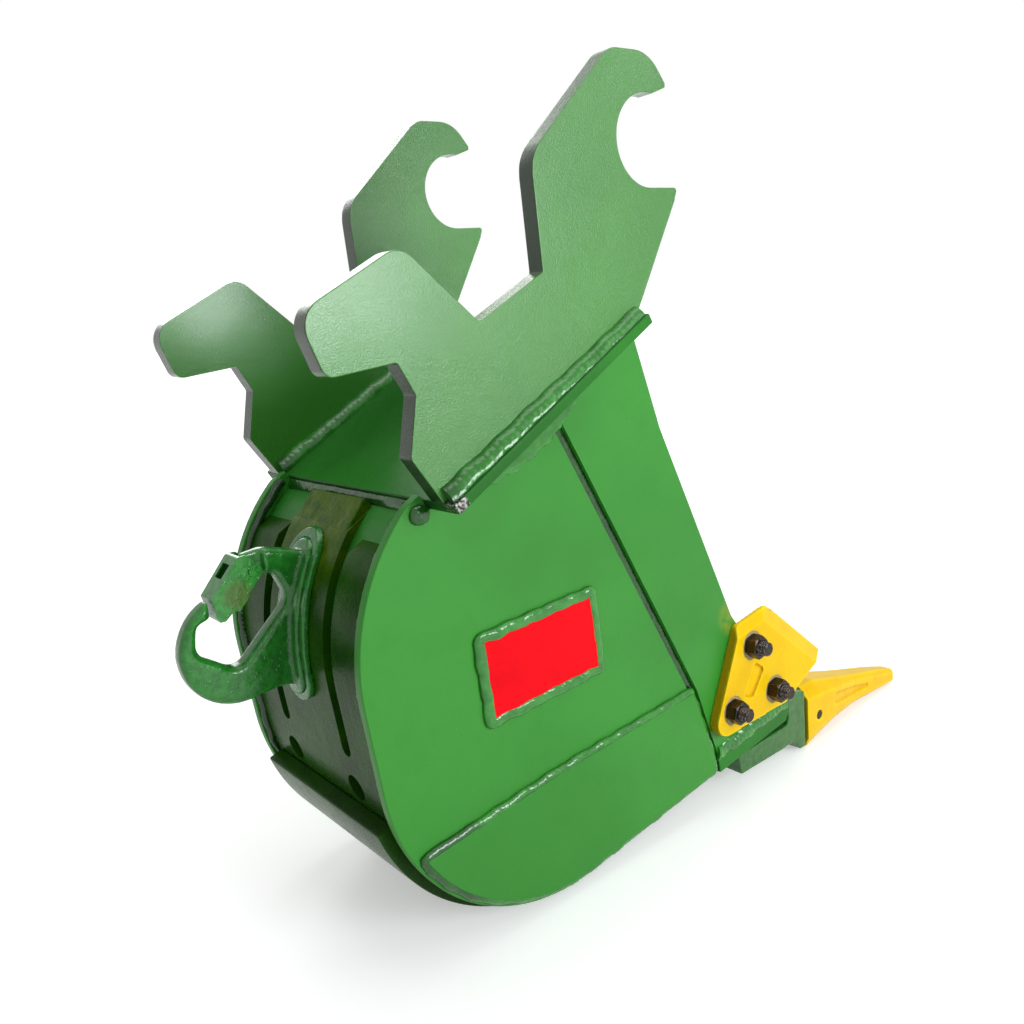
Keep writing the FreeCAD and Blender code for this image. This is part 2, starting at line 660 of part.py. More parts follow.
# Adapters and teeth
def adapter_profile():
    leg_top = on_floor((LEG_REAR - HEEL_FOOT[0]) / math.cos(FLOOR), 0)[1]
    saddle = on_floor(LIP_END - SADDLE_LENGTH, LIP_T)
    top, low = on_floor(LIP_END, LIP_T), on_floor(LIP_END, 0)
    return rounded([
        (LEG_REAR, leg_top, 0), (LEG_REAR + 5.0, leg_top - LEG_T, 2),
        (SHOULDER_X - 24.0, leg_top - LEG_T + 2.0, 3), (SHOULDER_X - 12.0, SHOULDER_LOW, 3),
        (SHOULDER_X, SHOULDER_LOW, 2), (SHOULDER_X, SHOULDER_HIGH, 4),
        (SHOULDER_X - 32.0, SHOULDER_HIGH + 8.0, 14), (saddle[0], saddle[1] + 12.0, 4),
        (saddle[0], saddle[1], 0), (top[0], top[1], 0), (low[0], low[1], 0),
        (low[0] - 2.0, leg_top + 3.0, 0)])


def nose_ring(x, grow):
    """Eight-sided section of the tapered nose."""
    share = (x - SHOULDER_X) / NOSE_LENGTH
    half = (NOSE_W + (NOSE_TIP_W - NOSE_W) * share) / 2 + grow
    low = NOSE_LOW + NOSE_TIP_RISE * share - grow
    high = low + NOSE_TALL + (NOSE_TIP_TALL - NOSE_TALL) * share + 2 * grow
    corner = NOSE_W / 8
    return [V(x, -half + corner, low), V(x, half - corner, low), V(x, half, low + corner),
            V(x, half, high - corner), V(x, half - corner, high), V(x, -half + corner, high),
            V(x, -half, high - corner), V(x, -half, low + corner)]


def nose(grow, start):
    """Tapered nose that carries the tooth, or the pocket for it."""
    return loft([nose_ring(SHOULDER_X - start, grow), nose_ring(SHOULDER_X + NOSE_LENGTH + grow, grow)])


def adapter(side):
    """Two-leg adapter that straddles the lip, with a nose for the tooth."""
    body = slab(adapter_profile(), -ADAPTER_W / 2, ADAPTER_W / 2).fuse(nose(0.0, 4.0))
    body = body.cut(rod(TOOTH_PIN, TOOTH_PIN_R + PIN_CLEARANCE, -ADAPTER_W, ADAPTER_W))
    body.translate(V(0, TOOTH_Y, 0))
    beside_bar = rounded(plain([on_floor(0, LIP_T), on_floor(LIP_END - 4.0 + PIN_CLEARANCE, LIP_T),
                                on_floor(LIP_END - 4.0 + PIN_CLEARANCE, FAR), on_floor(0, FAR)]))
    body = body.cut(slab(beside_bar, BAR_IN - PIN_CLEARANCE, BODY_WIDTH)).removeSplitter()
    return on_side(body, side)


def tooth_ring(section, thinner):
    """Eight-sided section of the tooth, made thinner on both sides by a given depth."""
    share, wide, low, ridge, high, top_wide = section
    x = TOOTH_REAR + share * TOOTH_LENGTH
    half, top_half = TOOTH_W / 2 * wide - thinner, TOOTH_W / 2 * top_wide
    belly = half * 0.84
    z0, z1, z2 = TOOTH_FLOOR_Z + low, TOOTH_FLOOR_Z + ridge, TOOTH_FLOOR_Z + high
    knee = z0 + (z1 - z0) * 0.2
    return [V(x, -belly, z0), V(x, belly, z0), V(x, half, knee), V(x, half, z1),
            V(x, top_half, z2), V(x, -top_half, z2), V(x, -half, z1), V(x, -half, knee)]


def tooth_flutes():
    """Long shallow hollows in both sides of the tooth, that narrow towards the tip."""
    rear = (TOOTH_REAR + FLUTE_FROM[0], TOOTH_FLOOR_Z + FLUTE_FROM[1])
    front = (TOOTH_REAR + FLUTE_TO[0], TOOTH_FLOOR_Z + FLUTE_TO[1])
    wide, narrow = FLUTE_W[0] / 2, FLUTE_W[1] / 2
    face = rounded([(rear[0], rear[1] - wide, wide - 1), (front[0], front[1] - narrow, narrow - 1),
                    (front[0], front[1] + narrow, narrow - 1), (rear[0], rear[1] + wide, wide - 1)])
    core = loft([tooth_ring(section, FLUTE_DEPTH) for section in TOOTH_SECTIONS])
    return slab(face, -TOOTH_W, TOOTH_W).cut(core)


def tooth(side):
    """Long narrow trenching tooth with a pocket for the adapter nose."""
    body = loft([tooth_ring(section, 0.0) for section in TOOTH_SECTIONS]).cut(tooth_flutes())
    body = body.cut(nose(NOSE_GAP, TOOTH_REAR_GAP + 5.0))
    body = body.cut(rod(TOOTH_PIN, TOOTH_PIN_R + PIN_CLEARANCE, -TOOTH_W, TOOTH_W))
    body.translate(V(0, TOOTH_Y, 0))
    return on_side(body, side)


def tooth_pins():
    """Locking pins through tooth and nose, with their ends a little below the tooth's sides."""
    half = TOOTH_W * 0.46
    return Part.makeCompound([rod(TOOTH_PIN, TOOTH_PIN_R, y - half, y + half) for y in (-TOOTH_Y, TOOTH_Y)])


# Side cutters
def cutter_corners():
    """Corners of the side cutter, each set out from the bolt it stands nearest to."""
    bolts = dict(zip(("top", "rear", "front"), bolt_points()))
    return [(bolts[near][0] + dx, bolts[near][1] + dz, r) for near, dx, dz, r in CUTTER_CORNERS]


def blade_bevel(p, q, y_face, width, depth):
    """Wedge that takes a bevel off the outer face along the edge from p to q."""
    along = V(q[0] - p[0], 0, q[1] - p[1])
    along.normalize()
    outward = V(-along.z, 0, along.x)
    start = V(p[0], y_face, p[1]) - along * 40
    ring = [start - outward * width, start + outward * 4 + V(0, -depth * (width + 4) / width, 0),
            start + outward * 4 + V(0, 4, 0), start - outward * width + V(0, 4, 0)]
    wire = Part.makePolygon(ring + [ring[0]])
    return Part.Face(wire).extrude(along * (math.hypot(q[0] - p[0], q[1] - p[1]) + 80))


def side_cutter(side):
    """Bolt-on cutter with a sharpened front blade, spot faces and a cored pocket."""
    bolts, corners = bolt_points(), cutter_corners()
    y0, y1 = BAR_OUT, BAR_OUT + CUTTER_T
    body = slab(rounded(corners), y0, y1)
    mid = (sum(p[0] for p in bolts) / len(bolts), sum(p[1] for p in bolts) / len(bolts))
    core = rounded([(mid[0] + dx, mid[1] + dz, r) for dx, dz, r in CUTTER_CORE])
    body = body.cut(slab(core, y1 - CUTTER_POCKET, y1 + 1))
    for p in bolts:
        body = body.cut(rod(p, BOLT_HOLE_R, y0 - 1, y1 + 1))
        body = body.cut(rod(p, SPOTFACE_R, y1 - SPOTFACE_DEPTH, y1 + 1))
    body = body.cut(blade_bevel(corners[3], corners[4], y1, BLADE_BEVEL[0], BLADE_BEVEL[1]))
    body = body.cut(blade_bevel(corners[1], corners[2], y1, TOP_BEVEL[0], TOP_BEVEL[1]))
    return on_side(body, side)


def many_sided(p, across, sides, y0, y1):
    """Bar across the bucket with flat sides, measured across its flats."""
    r = across / 2 / math.cos(math.pi / sides)
    return slab(rounded(plain([polar(p, r, 15.0 + i * 360.0 / sides) for i in range(sides)])), y0, y1)


def hexagon(p, across, y0, y1):
    return many_sided(p, across, 6, y0, y1)


def cutter_nuts(side):
    seat = BAR_OUT + CUTTER_T - SPOTFACE_DEPTH
    nuts = []
    for p in bolt_points():
        nut = hexagon(p, NUT_AF, seat, seat + NUT_H)
        nuts.append(nut.cut(rod(p, BOLT_R + PIN_CLEARANCE / 2, seat - 1, seat + NUT_H + 1)))
    return on_side(Part.makeCompound(nuts), side)


def cutter_bolts(side):
    """Bolts from inside the body, with their heads on the inner face of the front bar."""
    end = BAR_OUT + CUTTER_T - SPOTFACE_DEPTH + NUT_H + BOLT_STICK_OUT
    bolts = []
    for p in bolt_points():
        head = hexagon(p, NUT_AF, BAR_IN - BOLT_HEAD_H, BAR_IN)
        bolts.append(head.fuse(rod(p, BOLT_R, BAR_IN - 1, end)).removeSplitter())
    return on_side(Part.makeCompound(bolts), side)


# Lifting hook
def from_pivot(corners):
    """Closed outline whose corners are set out from the latch pivot."""
    return rounded([(LATCH_PIVOT[0] + dx, LATCH_PIVOT[1] + dz, r) for dx, dz, r in corners])


def inside_back(radius):
    """Everything inside a radius of the back, as one side-view face."""
    start, low = polar(CROWN_CENTRE, radius, CROWN_ANGLE), polar(HEEL_CENTRE, radius, FLOOR_ANGLE)
    corner = (low[0], start[1])
    return closed(back_edges(radius, CROWN_ANGLE) + [line_edge(start, corner), line_edge(corner, low)])


def hook_face():
    """Side view of the bow, the slanted eye and the arm that carries the latch."""
    centre = point((LATCH_PIVOT[0] + LIFT_BOW[0], LATCH_PIVOT[1] + LIFT_BOW[1]))
    disc = Part.Face(Part.Wire(Part.Circle(centre, V(0, 1, 0), LIFT_BOW_R).toShape()))
    body = disc.fuse(from_pivot(LIFT_ARM)).cut(from_pivot(LIFT_EYE)).cut(from_pivot(LIFT_MOUTH))
    return body.removeSplitter()


def forged_hook():
    """Flat blank of the hook with its long edges broken as in the forging die, up to the foot."""
    blank = slab(hook_face(), -LIFT_T / 2, LIFT_T / 2)
    foot_x = LATCH_PIVOT[0] + max(corner[0] for corner in LIFT_ARM)
    picked = [edge for edge in blank.Edges if edge.BoundBox.YLength < 0.01 and edge.BoundBox.XMin < foot_x - 1]
    return blank.makeChamfer(LIFT_FORGED, picked)


def foot_pill(half):
    """Prism with round ends, seen from behind, that trims the foot."""
    rear, reach = LATCH_PIVOT[0] - 100, 250
    end = LIFT_FOOT_W / 2
    low, high = LATCH_PIVOT[1] - LIFT_FOOT_DROP + end, LATCH_PIVOT[1] + LIFT_FOOT_RISE - end
    pill = block(rear, rear + reach, -half, half, low, high)
    for z in (low, high):
        pill = pill.fuse(Part.makeCylinder(half, reach, V(rear, 0, z), V(1, 0, 0)))
    return pill


def lifting_hook():
    """Forged hook with a foot that follows the curve of the back."""
    body = forged_hook()
    foot = slab(inside_back(WEAR_R + LIFT_FOOT_T), -LIFT_FOOT_W, LIFT_FOOT_W)
    body = body.fuse(foot.common(foot_pill(LIFT_FOOT_W / 2)))
    body = body.cut(slab(inside_back(WEAR_R), -2 * LIFT_FOOT_W, 2 * LIFT_FOOT_W))
    x, z = LATCH_PIVOT
    cheek = block(x - 2 * LUG_R, x + LUG_R + 2, LUG_W / 2, LIFT_T, z - 1.6 * LUG_R, z + 2.5 * LUG_R)
    body = body.cut(cheek).cut(mirrored(cheek)).fuse(rod(LATCH_PIVOT, LUG_R, -LUG_W / 2, LUG_W / 2))
    body = body.cut(rod(LATCH_PIVOT, LATCH_PIN_R + PIN_CLEARANCE / 2, -LIFT_T, LIFT_T))
    return body.removeSplitter()


def hook_foot_weld():
    """Bead round the foot of the lifting hook, on the curve of the back."""
    bead = slab(inside_back(WEAR_R + HOOK_WELD * 0.75), -2 * LIFT_FOOT_W, 2 * LIFT_FOOT_W)
    bead = bead.common(foot_pill(LIFT_FOOT_W / 2 + HOOK_WELD))
    bead = bead.cut(slab(inside_back(WEAR_R), -2 * LIFT_FOOT_W, 2 * LIFT_FOOT_W))
    return bead.cut(foot_pill(LIFT_FOOT_W / 2))


def latch_placed(body):
    """Turn a piece drawn along +X from the pivot to the closed latch's angle, and set it there."""
    body.rotate(V(0, 0, 0), V(0, -1, 0), LATCH_ANGLE)
    body.translate(point(LATCH_PIVOT))
    return body


def hook_latch():
    """Folded sheet latch: two cheeks on the pin and a slotted web on the outer side."""
    inner = LATCH_HALF - LATCH_SHEET
    tip, deep, thick = LATCH_REACH, LATCH_DEPTH, LATCH_SHEET
    outline = rounded([(-7.0, 8.0, 6), (-8.0, -deep + 5.5, 4), (-2.0, -deep, 4), (tip - 11.5, -deep + 2.5, 2),
                       (tip - 8.0, -deep + 9.0, 4), (tip - 2.0, -4.5, 3), (tip, 1.0, 1.5), (tip - 3.5, 5.0, 3),
                       (tip - 15.0, 5.0, 3), (tip - 16.5, 11.0, 2), (tip - 29.0, 10.5, 3), (tip - 37.0, 8.0, 6)])
    body = slab(outline, -LATCH_HALF, LATCH_HALF)
    hollow = rounded(plain([(-20.0, -deep + thick), (-2.0, -deep + thick), (tip - 13.0, -deep + 2.5 + thick),
                            (tip - 10.0, -deep + 9.8), (tip - 4.2, -3.6), (tip - 2.2, 1.2), (tip, 20.0),
                            (-20.0, 20.0)]))
    body = body.cut(slab(hollow, -inner, inner))
    body = body.cut(block(6.0, 20.0, 4.0 - inner, inner - 4.0, -deep - thick, -deep + 2 * thick))
    body = body.cut(rod((0, 0), LATCH_PIN_R + PIN_CLEARANCE / 2, -2 * LATCH_HALF, 2 * LATCH_HALF))
    return latch_placed(body)


def latch_pin():
    end = LATCH_HALF + 0.3
    body = rod(LATCH_PIVOT, LATCH_PIN_R, -end, end)
    for y in (-end - PIN_HEAD, end):
        body = body.fuse(rod(LATCH_PIVOT, LATCH_PIN_R + 1.5, y, y + PIN_HEAD))
    return body.removeSplitter()


def spring_turn(inner, outer, y):
    ring = many_sided((0, 0), 2 * outer, SPRING_SIDES, y, y + SPRING_WIRE)
    return ring.cut(many_sided((0, 0), 2 * inner, SPRING_SIDES, y - 1, y + 2 * SPRING_WIRE))


def latch_spring():
    """Double torsion spring of square wire: turns on the pin each side of the lug, and a loop on the web."""
    inner = LATCH_PIN_R + SPRING_GAP
    outer = inner + SPRING_WIRE
    reach = LATCH_DEPTH - LATCH_SHEET - SPRING_GAP
    start = LUG_W / 2 + 2 * SPRING_GAP
    step = SPRING_WIRE + SPRING_GAP
    middle = (inner + outer) / 2
    half = block(-SPRING_WIRE / 2, SPRING_WIRE / 2, 0, start + SPRING_WIRE, -reach, SPRING_WIRE - reach)
    half = half.fuse(block(-SPRING_WIRE / 2, SPRING_WIRE / 2, start, start + SPRING_WIRE, -reach, -middle))
    for turn in range(SPRING_TURNS):
        y = start + turn * step
        half = half.fuse(spring_turn(inner, outer, y))
        if turn:
            half = half.fuse(block(inner + 0.2, outer - 0.2, y - step, y, -SPRING_WIRE / 2, SPRING_WIRE / 2))
    return latch_placed(half.fuse(mirrored(half)).removeSplitter())


SHAPES = {
    "top_plate": top_plate(),
    "ear_right": ear(-1),
    "ear_left": ear(1),
    "ear_welds": ear_welds(),
    "side_plate_right": side_plate(-1),
    "side_plate_left": side_plate(1),
    "side_bar_right": side_bar(-1),
    "side_bar_left": side_bar(1),
    "side_seam_right": side_seam(-1),
    "side_seam_left": side_seam(1),
    "shell": shell(),
    "back_wear_plate": back_wear_plate(),
    "heel_wear_strip": heel_wear_strip(),
    "lip_plate": lip_plate(),
    "lip_welds": lip_welds(),
    "side_wear_plate_right": side_wear_plate(-1),
    "side_wear_plate_left": side_wear_plate(1),
    "wear_plate_welds": wear_plate_welds(),
    "name_plate": name_plate(),
    "name_plate_welds": name_plate_welds(),
    "top_plate_welds": top_plate_welds(),
    "back_welds": back_welds(),
    "adapter_right": adapter(-1),
    "adapter_left": adapter(1),
    "tooth_right": tooth(-1),
    "tooth_left": tooth(1),
    "tooth_pins": tooth_pins(),
    "side_cutter_right": side_cutter(-1),
    "side_cutter_left": side_cutter(1),
    "cutter_bolts_right": cutter_bolts(-1),
    "cutter_bolts_left": cutter_bolts(1),
    "cutter_nuts_right": cutter_nuts(-1),
    "cutter_nuts_left": cutter_nuts(1),
    "lifting_hook": lifting_hook(),
    "hook_foot_weld": hook_foot_weld(),
    "hook_latch": hook_latch(),
    "latch_pin": latch_pin(),
    "latch_spring": latch_spring(),
}

os.makedirs("parts", exist_ok=True)
for name, shape in SHAPES.items():
    shape.exportStep("parts/" + name + ".step")
    print(name, len(shape.Solids), "solid(s)", "valid" if shape.isValid() else "NOT VALID",
          round(shape.Volume / 1000.0, 1), "cm3")
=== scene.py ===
import math

import bpy
import bmesh
from mathutils import Matrix, Vector

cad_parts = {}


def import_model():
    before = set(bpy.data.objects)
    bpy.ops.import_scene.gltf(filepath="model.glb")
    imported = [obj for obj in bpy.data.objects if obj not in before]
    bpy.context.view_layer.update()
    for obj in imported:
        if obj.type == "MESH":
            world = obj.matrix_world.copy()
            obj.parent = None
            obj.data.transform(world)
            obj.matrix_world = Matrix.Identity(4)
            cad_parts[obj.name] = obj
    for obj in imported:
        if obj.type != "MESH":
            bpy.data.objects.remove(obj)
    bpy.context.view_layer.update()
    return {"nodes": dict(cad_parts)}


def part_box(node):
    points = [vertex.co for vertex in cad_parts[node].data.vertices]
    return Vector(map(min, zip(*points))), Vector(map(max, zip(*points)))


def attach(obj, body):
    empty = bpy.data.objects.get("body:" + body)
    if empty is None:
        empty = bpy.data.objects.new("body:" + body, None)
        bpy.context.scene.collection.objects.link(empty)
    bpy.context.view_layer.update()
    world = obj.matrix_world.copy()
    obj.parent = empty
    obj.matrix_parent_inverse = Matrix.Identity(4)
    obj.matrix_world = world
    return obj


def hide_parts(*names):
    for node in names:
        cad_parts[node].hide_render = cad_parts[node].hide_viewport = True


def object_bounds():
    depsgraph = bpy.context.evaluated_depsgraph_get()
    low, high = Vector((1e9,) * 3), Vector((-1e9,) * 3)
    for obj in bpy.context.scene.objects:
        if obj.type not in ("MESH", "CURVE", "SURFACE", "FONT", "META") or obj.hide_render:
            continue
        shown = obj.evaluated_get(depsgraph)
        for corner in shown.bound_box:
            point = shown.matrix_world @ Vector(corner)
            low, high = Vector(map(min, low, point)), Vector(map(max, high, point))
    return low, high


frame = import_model()
MM = 0.001
SIDES = {"right": -1, "left": 1}

# Camera of the photograph: place, three axes and lens
CAMERA_PLACE = Vector((-0.6675, -0.7645, -0.1302))
CAMERA_RIGHT = Vector((0.772357, -0.627982, -0.095414))
CAMERA_DOWN = Vector((-0.210026, -0.110717, -0.971407))
CAMERA_AHEAD = Vector((0.599462, 0.770312, -0.217405))
CAMERA_LENS = 32.83

# Slope of the top plate, seen from the side
TOP_PITCH = math.radians(28.9)
UP_SLOPE = Vector((math.cos(TOP_PITCH), 0, math.sin(TOP_PITCH)))
OFF_SLOPE = Vector((-math.sin(TOP_PITCH), 0, math.cos(TOP_PITCH)))

# Curve of the back wear plate, and the lines of the seam and the lip
CROWN_CENTRE = Vector((-148.28, 0, -425.50)) * MM
HEEL_CENTRE = Vector((-141.50, 0, -503.00)) * MM
WEAR_R = 187.5 * MM
INNER_HALF = 119.0 * MM
BODY_HALF = 129.0 * MM
BAR_OUT = 132.0 * MM
SEAM_TOP = Vector((-101.9, 0, -253.1)) * MM
SEAM_BEND = Vector((54.0, 0, -557.8)) * MM
LIP_REAR = Vector((82.3, 0, -643.9)) * MM
LIP_FRONT = Vector((211.2, 0, -626.6)) * MM

# Bolts of the side cutters, the turned-off corners of their nuts, and their bare spot faces
BOLT_POINTS = [Vector(spot) * MM for spot in ((136.9, 0, -528.7), (99.15, 0, -594.1), (174.65, 0, -594.1))]
NUT_AF = 24.0 * MM
CORNER_R = NUT_AF * 0.475
CORNER_SLOPE = 1.75
CORNER_STEPS = [0.8 * MM, 1.6 * MM, 2.4 * MM]
SHANK_R = 7.9 * MM
THREAD_R = 8.0 * MM
THREAD_PITCH = 2.0 * MM
THREAD_DEPTH = 1.05 * MM
NO_LIMIT = 1.0
SEAT_OUT = 142.0 * MM
SEAT_R = 17.2 * MM

# Latch
LATCH_PIVOT = Vector((-369.0, 0, -333.0)) * MM
LATCH_ANGLE = math.radians(224.5)

# Spots where the paint is sprayed over, rubbed off or burnt by a weld, and the top plate's right end
OVERSPRAY = Vector((120.0, -132.0, -489.0)) * MM
BARE_PLATE_CORNER = Vector((-261.5, -171.0, -284.5)) * MM
BARE_CUTTER_CORNER = Vector((188.0, -135.0, -497.0)) * MM
STRAP_HEAT = Vector((-287.0, 0.0, -306.0)) * MM
LATCH_HEAT = Vector((-386.0, -13.0, -350.0)) * MM
PLATE_END = -172.2 * MM

# Light and floor
WORLD_LIGHT = 0.32
PALE = (0.85, 0.85, 0.85, 1.0)
NEAR_GLOW = (0.42, 0.42, 0.42, 1.0)
DARK = (0.0, 0.0, 0.0, 1.0)
FLOOR_HALF = 40.0


# Shader values and materials
class Value:
    """A shader socket that takes part in sums and products."""

    def __init__(self, recipe, socket):
        self.recipe = recipe
        self.socket = socket

    def math(self, operation, first, second):
        return self.recipe.node("ShaderNodeMath", {"operation": operation}, {0: first, 1: second})

    def __add__(self, other):
        return self.math("ADD", self, other)

    def __radd__(self, other):
        return self.math("ADD", other, self)

    def __rsub__(self, other):
        return self.math("SUBTRACT", other, self)

    def __mul__(self, other):
        return self.math("MULTIPLY", self, other)

    def __rmul__(self, other):
        return self.math("MULTIPLY", other, self)

    def __neg__(self):
        return self.math("MULTIPLY", self, -1.0)

    def between(self, low, high):
        """0 below low, 1 above high, smooth in between."""
        return self.recipe.node("ShaderNodeMapRange", {"interpolation_type": "SMOOTHSTEP"},
                                {0: self, 1: low, 2: high, 3: 0.0, 4: 1.0})


class Recipe:
    """One material, built from node calls."""

    def __init__(self, name):
        self.material = bpy.data.materials.new(name)
        self.material.use_nodes = True
        self.tree = self.material.node_tree
        self.shader = self.tree.nodes["Principled BSDF"]
        self.coords = self.node("ShaderNodeTexCoord", out="Object")

    def node(self, kind, settings=None, inputs=None, out=0):
        """New shader node with its settings and inputs, as the value of one of its outputs."""
        made = self.tree.nodes.new(kind)
        for key, value in (settings or {}).items():
            setattr(made, key, value)
        self.feed(made, inputs or {})
        return Value(self, made.outputs[out])

    def feed(self, made, inputs):
        """Link values to a node's inputs, and write constants into them."""
        for key, value in inputs.items():
            if isinstance(value, Value):
                self.tree.links.new(value.socket, made.inputs[key])
            else:
                made.inputs[key].default_value = value

    def place(self, shift=(0, 0, 0), stretch=(1, 1, 1)):
        """Object coordinates, shifted and stretched."""
        return self.node("ShaderNodeMapping", {},
                         {"Vector": self.coords, "Location": shift, "Scale": stretch})

    def noise(self, scale, detail=2.0, rough=0.5, **place):
        """Noise with features of about 1/scale metres."""
        return self.node("ShaderNodeTexNoise", {}, {"Vector": self.place(**place), "Scale": scale,
                                                    "Detail": detail, "Roughness": rough})

    def specks(self, scale, size, **place):
        """Small round specks, 1 inside and 0 outside."""
        cells = self.node("ShaderNodeTexVoronoi", {}, {"Vector": self.place(**place), "Scale": scale})
        return 1 - cells.between(size * 0.5, size)

    def axis(self, letter):
        """One object coordinate, in metres."""
        return self.node("ShaderNodeSeparateXYZ", {}, {0: self.coords}, out="XYZ".index(letter))

    def near(self, spot, radius, core=0.45):
        """1 at a spot in metres, 0 beyond its radius, with a share of the radius as its core."""
        away = self.node("ShaderNodeVectorMath", {"operation": "DISTANCE"}, {0: self.coords, 1: spot},
                         out="Value")
        return 1 - away.between(radius * core, radius)

    def crest(self, spread=0.06):
        """0 in hollows, 0.5 on even ground and 1 on crests of a finely meshed piece."""
        return self.node("ShaderNodeNewGeometry", out="Pointiness").between(0.5 - spread, 0.5 + spread)

    def mix(self, share, first, second):
        """Colour between two colours."""
        return self.node("ShaderNodeMix", {"data_type": "RGBA"}, {0: share, 6: first, 7: second}, out=2)

    def facing(self, letter):
        """How far the surface faces along an axis, from -1 to 1."""
        normal = self.node("ShaderNodeNewGeometry", out="Normal")
        return self.node("ShaderNodeSeparateXYZ", {}, {0: normal}, out="XYZ".index(letter))

    def edges(self, width):
        """1 near a sharp edge, 0 on a flat stretch."""
        soft = self.node("ShaderNodeBevel", {"samples": 6}, {"Radius": width})
        hard = self.node("ShaderNodeNewGeometry", out="Normal")
        match = self.node("ShaderNodeVectorMath", {"operation": "DOT_PRODUCT"}, {0: soft, 1: hard},
                          out="Value")
        return (1 - match) * 4.0

    def bump(self, height, distance, strength=1.0, under=None):
        """Normal pushed by a height of 0 to 1, over another bump where one is given."""
        inputs = {"Height": height, "Distance": distance, "Strength": strength}
        if under:
            inputs["Normal"] = under
        return self.node("ShaderNodeBump", {}, inputs)

    def finish(self, **inputs):
        """Set the main shader's sockets, whose blanks are written as underscores."""
        self.feed(self.shader, {key.replace("_", " "): value for key, value in inputs.items()})
        return self.material


def srgb(r, g, b):
    """Linear colour with alpha from the 0 to 255 values that a screen shows."""
    def linear(c):
        c = c / 255.0
        return c / 12.92 if c <= 0.04045 else ((c + 0.055) / 1.055) ** 2.4
    return (linear(r), linear(g), linear(b), 1.0)


# Finishes
BARE_STEEL = srgb(150, 152, 150)
DARK_RUST = srgb(58, 50, 40)


def green_paint(name, tone, deep, peel=0.35, peel_scale=520.0, gloss=0.30, chips=0.0, shine=0.3,
                coat=0.0, painted_rear_shade=0.0):
    """Sprayed gloss paint: orange peel, slow flow, changes of tone, dust specks, chipped edges, painted shade
    on faces turned to the rear, and a bare line along the top plate's outer edge that is partly a painted
    highlight.
    """
    m = Recipe(name)
    slow = m.noise(4.5, 3.0)
    cloud = m.noise(21.0, 4.0, 0.6, shift=(4, 2, 9))
    flow = m.noise(60.0, 2.0, shift=(3, 1, 7))
    skin = m.noise(peel_scale, 2.0, 0.6)
    colour = m.mix(slow.between(0.32, 0.68), srgb(*tone), srgb(*deep))
    colour = m.mix(cloud.between(0.5, 0.85) * 0.4, colour, srgb(*deep))
    dust = m.specks(210.0, 0.10, shift=(1, 5, 2)) * m.noise(16.0, 2.0, shift=(8, 8, 1)).between(0.5, 0.7)
    colour = m.mix(dust * 0.35, colour, srgb(150, 190, 140))
    # Painted shade: darker, with less coat, where the surface faces the rear.
    shade = (-m.facing("X")).between(0.45, 0.9)
    colour = m.mix(shade * painted_rear_shade, colour, srgb(10, 30, 10))
    spray = m.near(OVERSPRAY, 30 * MM) * m.noise(90.0, 3.0, 0.6).between(0.3, 0.6)
    colour = m.mix(spray * 0.45, colour, srgb(150, 150, 20))
    rough = gloss + 0.09 * flow + 0.08 * skin + 0.10 * cloud.between(0.45, 0.8)
    metal = 0.0
    if chips:
        worn = m.edges(1.2 * MM) * m.noise(170.0, 4.0, 0.7, shift=(6, 3, 3)).between(0.5, 0.66)
        end = m.near(BARE_PLATE_CORNER, 18 * MM) * m.noise(240.0, 3.0, 0.7).between(0.36, 0.5)
        # Bare steel along the top plate's outer edge: partly worn paint and partly a painted highlight of that
        # edge.
        rim_wear_and_highlight = m.edges(0.9 * MM) * (1 - m.axis("Y").between(PLATE_END, PLATE_END + 1 * MM))
        rim_wear_and_highlight = rim_wear_and_highlight * m.noise(50.0, 4.0, 0.7, shift=(2, 6, 3)).between(0.42, 0.52)
        worn = (worn * chips + end + rim_wear_and_highlight * chips).between(0.25, 0.5)
        bare = m.mix(m.noise(330.0, 2.0).between(0.4, 0.6), BARE_STEEL, DARK_RUST)
        colour = m.mix(worn, colour, bare)
        metal = worn * 0.8
    normal = m.bump(flow, 1.4 * MM, 0.22)
    normal = m.bump(dust, 0.2 * MM, 0.5, under=normal)
    normal = m.bump(skin, 0.5 * MM, peel, under=normal)
    return m.finish(Base_Color=colour, Roughness=rough, Metallic=metal, Normal=normal,
                    Coat_Weight=(1 - shade) * coat, Coat_Roughness=0.2, Specular_IOR_Level=shine)


def weld_paint(name, tone, deep):
    """Thick wet paint that has run together over a weld bead, with painted shade in its hollows and towards the
    rear of the bucket.
    """
    m = Recipe(name)
    lump = m.noise(70.0, 3.0, 0.55)
    fine = m.noise(260.0, 2.0, shift=(5, 5, 5))
    colour = m.mix(lump.between(0.35, 0.7), srgb(*deep), srgb(*tone))
    # Painted shade in the hollows of the bead.
    colour = m.mix((1 - m.crest()) * 0.35, colour, srgb(8, 48, 8))
    # Painted shade: darker towards the rear of the bucket, over the rear welds and corner balls.
    rear = 1 - m.axis("X").between(-262 * MM, -240 * MM)
    colour = m.mix(rear * 0.7, colour, srgb(18, 60, 14))
    normal = m.bump(lump, 1.6 * MM, 0.4)
    normal = m.bump(fine, 0.5 * MM, 0.25, under=normal)
    return m.finish(Base_Color=colour, Roughness=0.12 + 0.14 * fine, Normal=normal, Specular_IOR_Level=0.5)


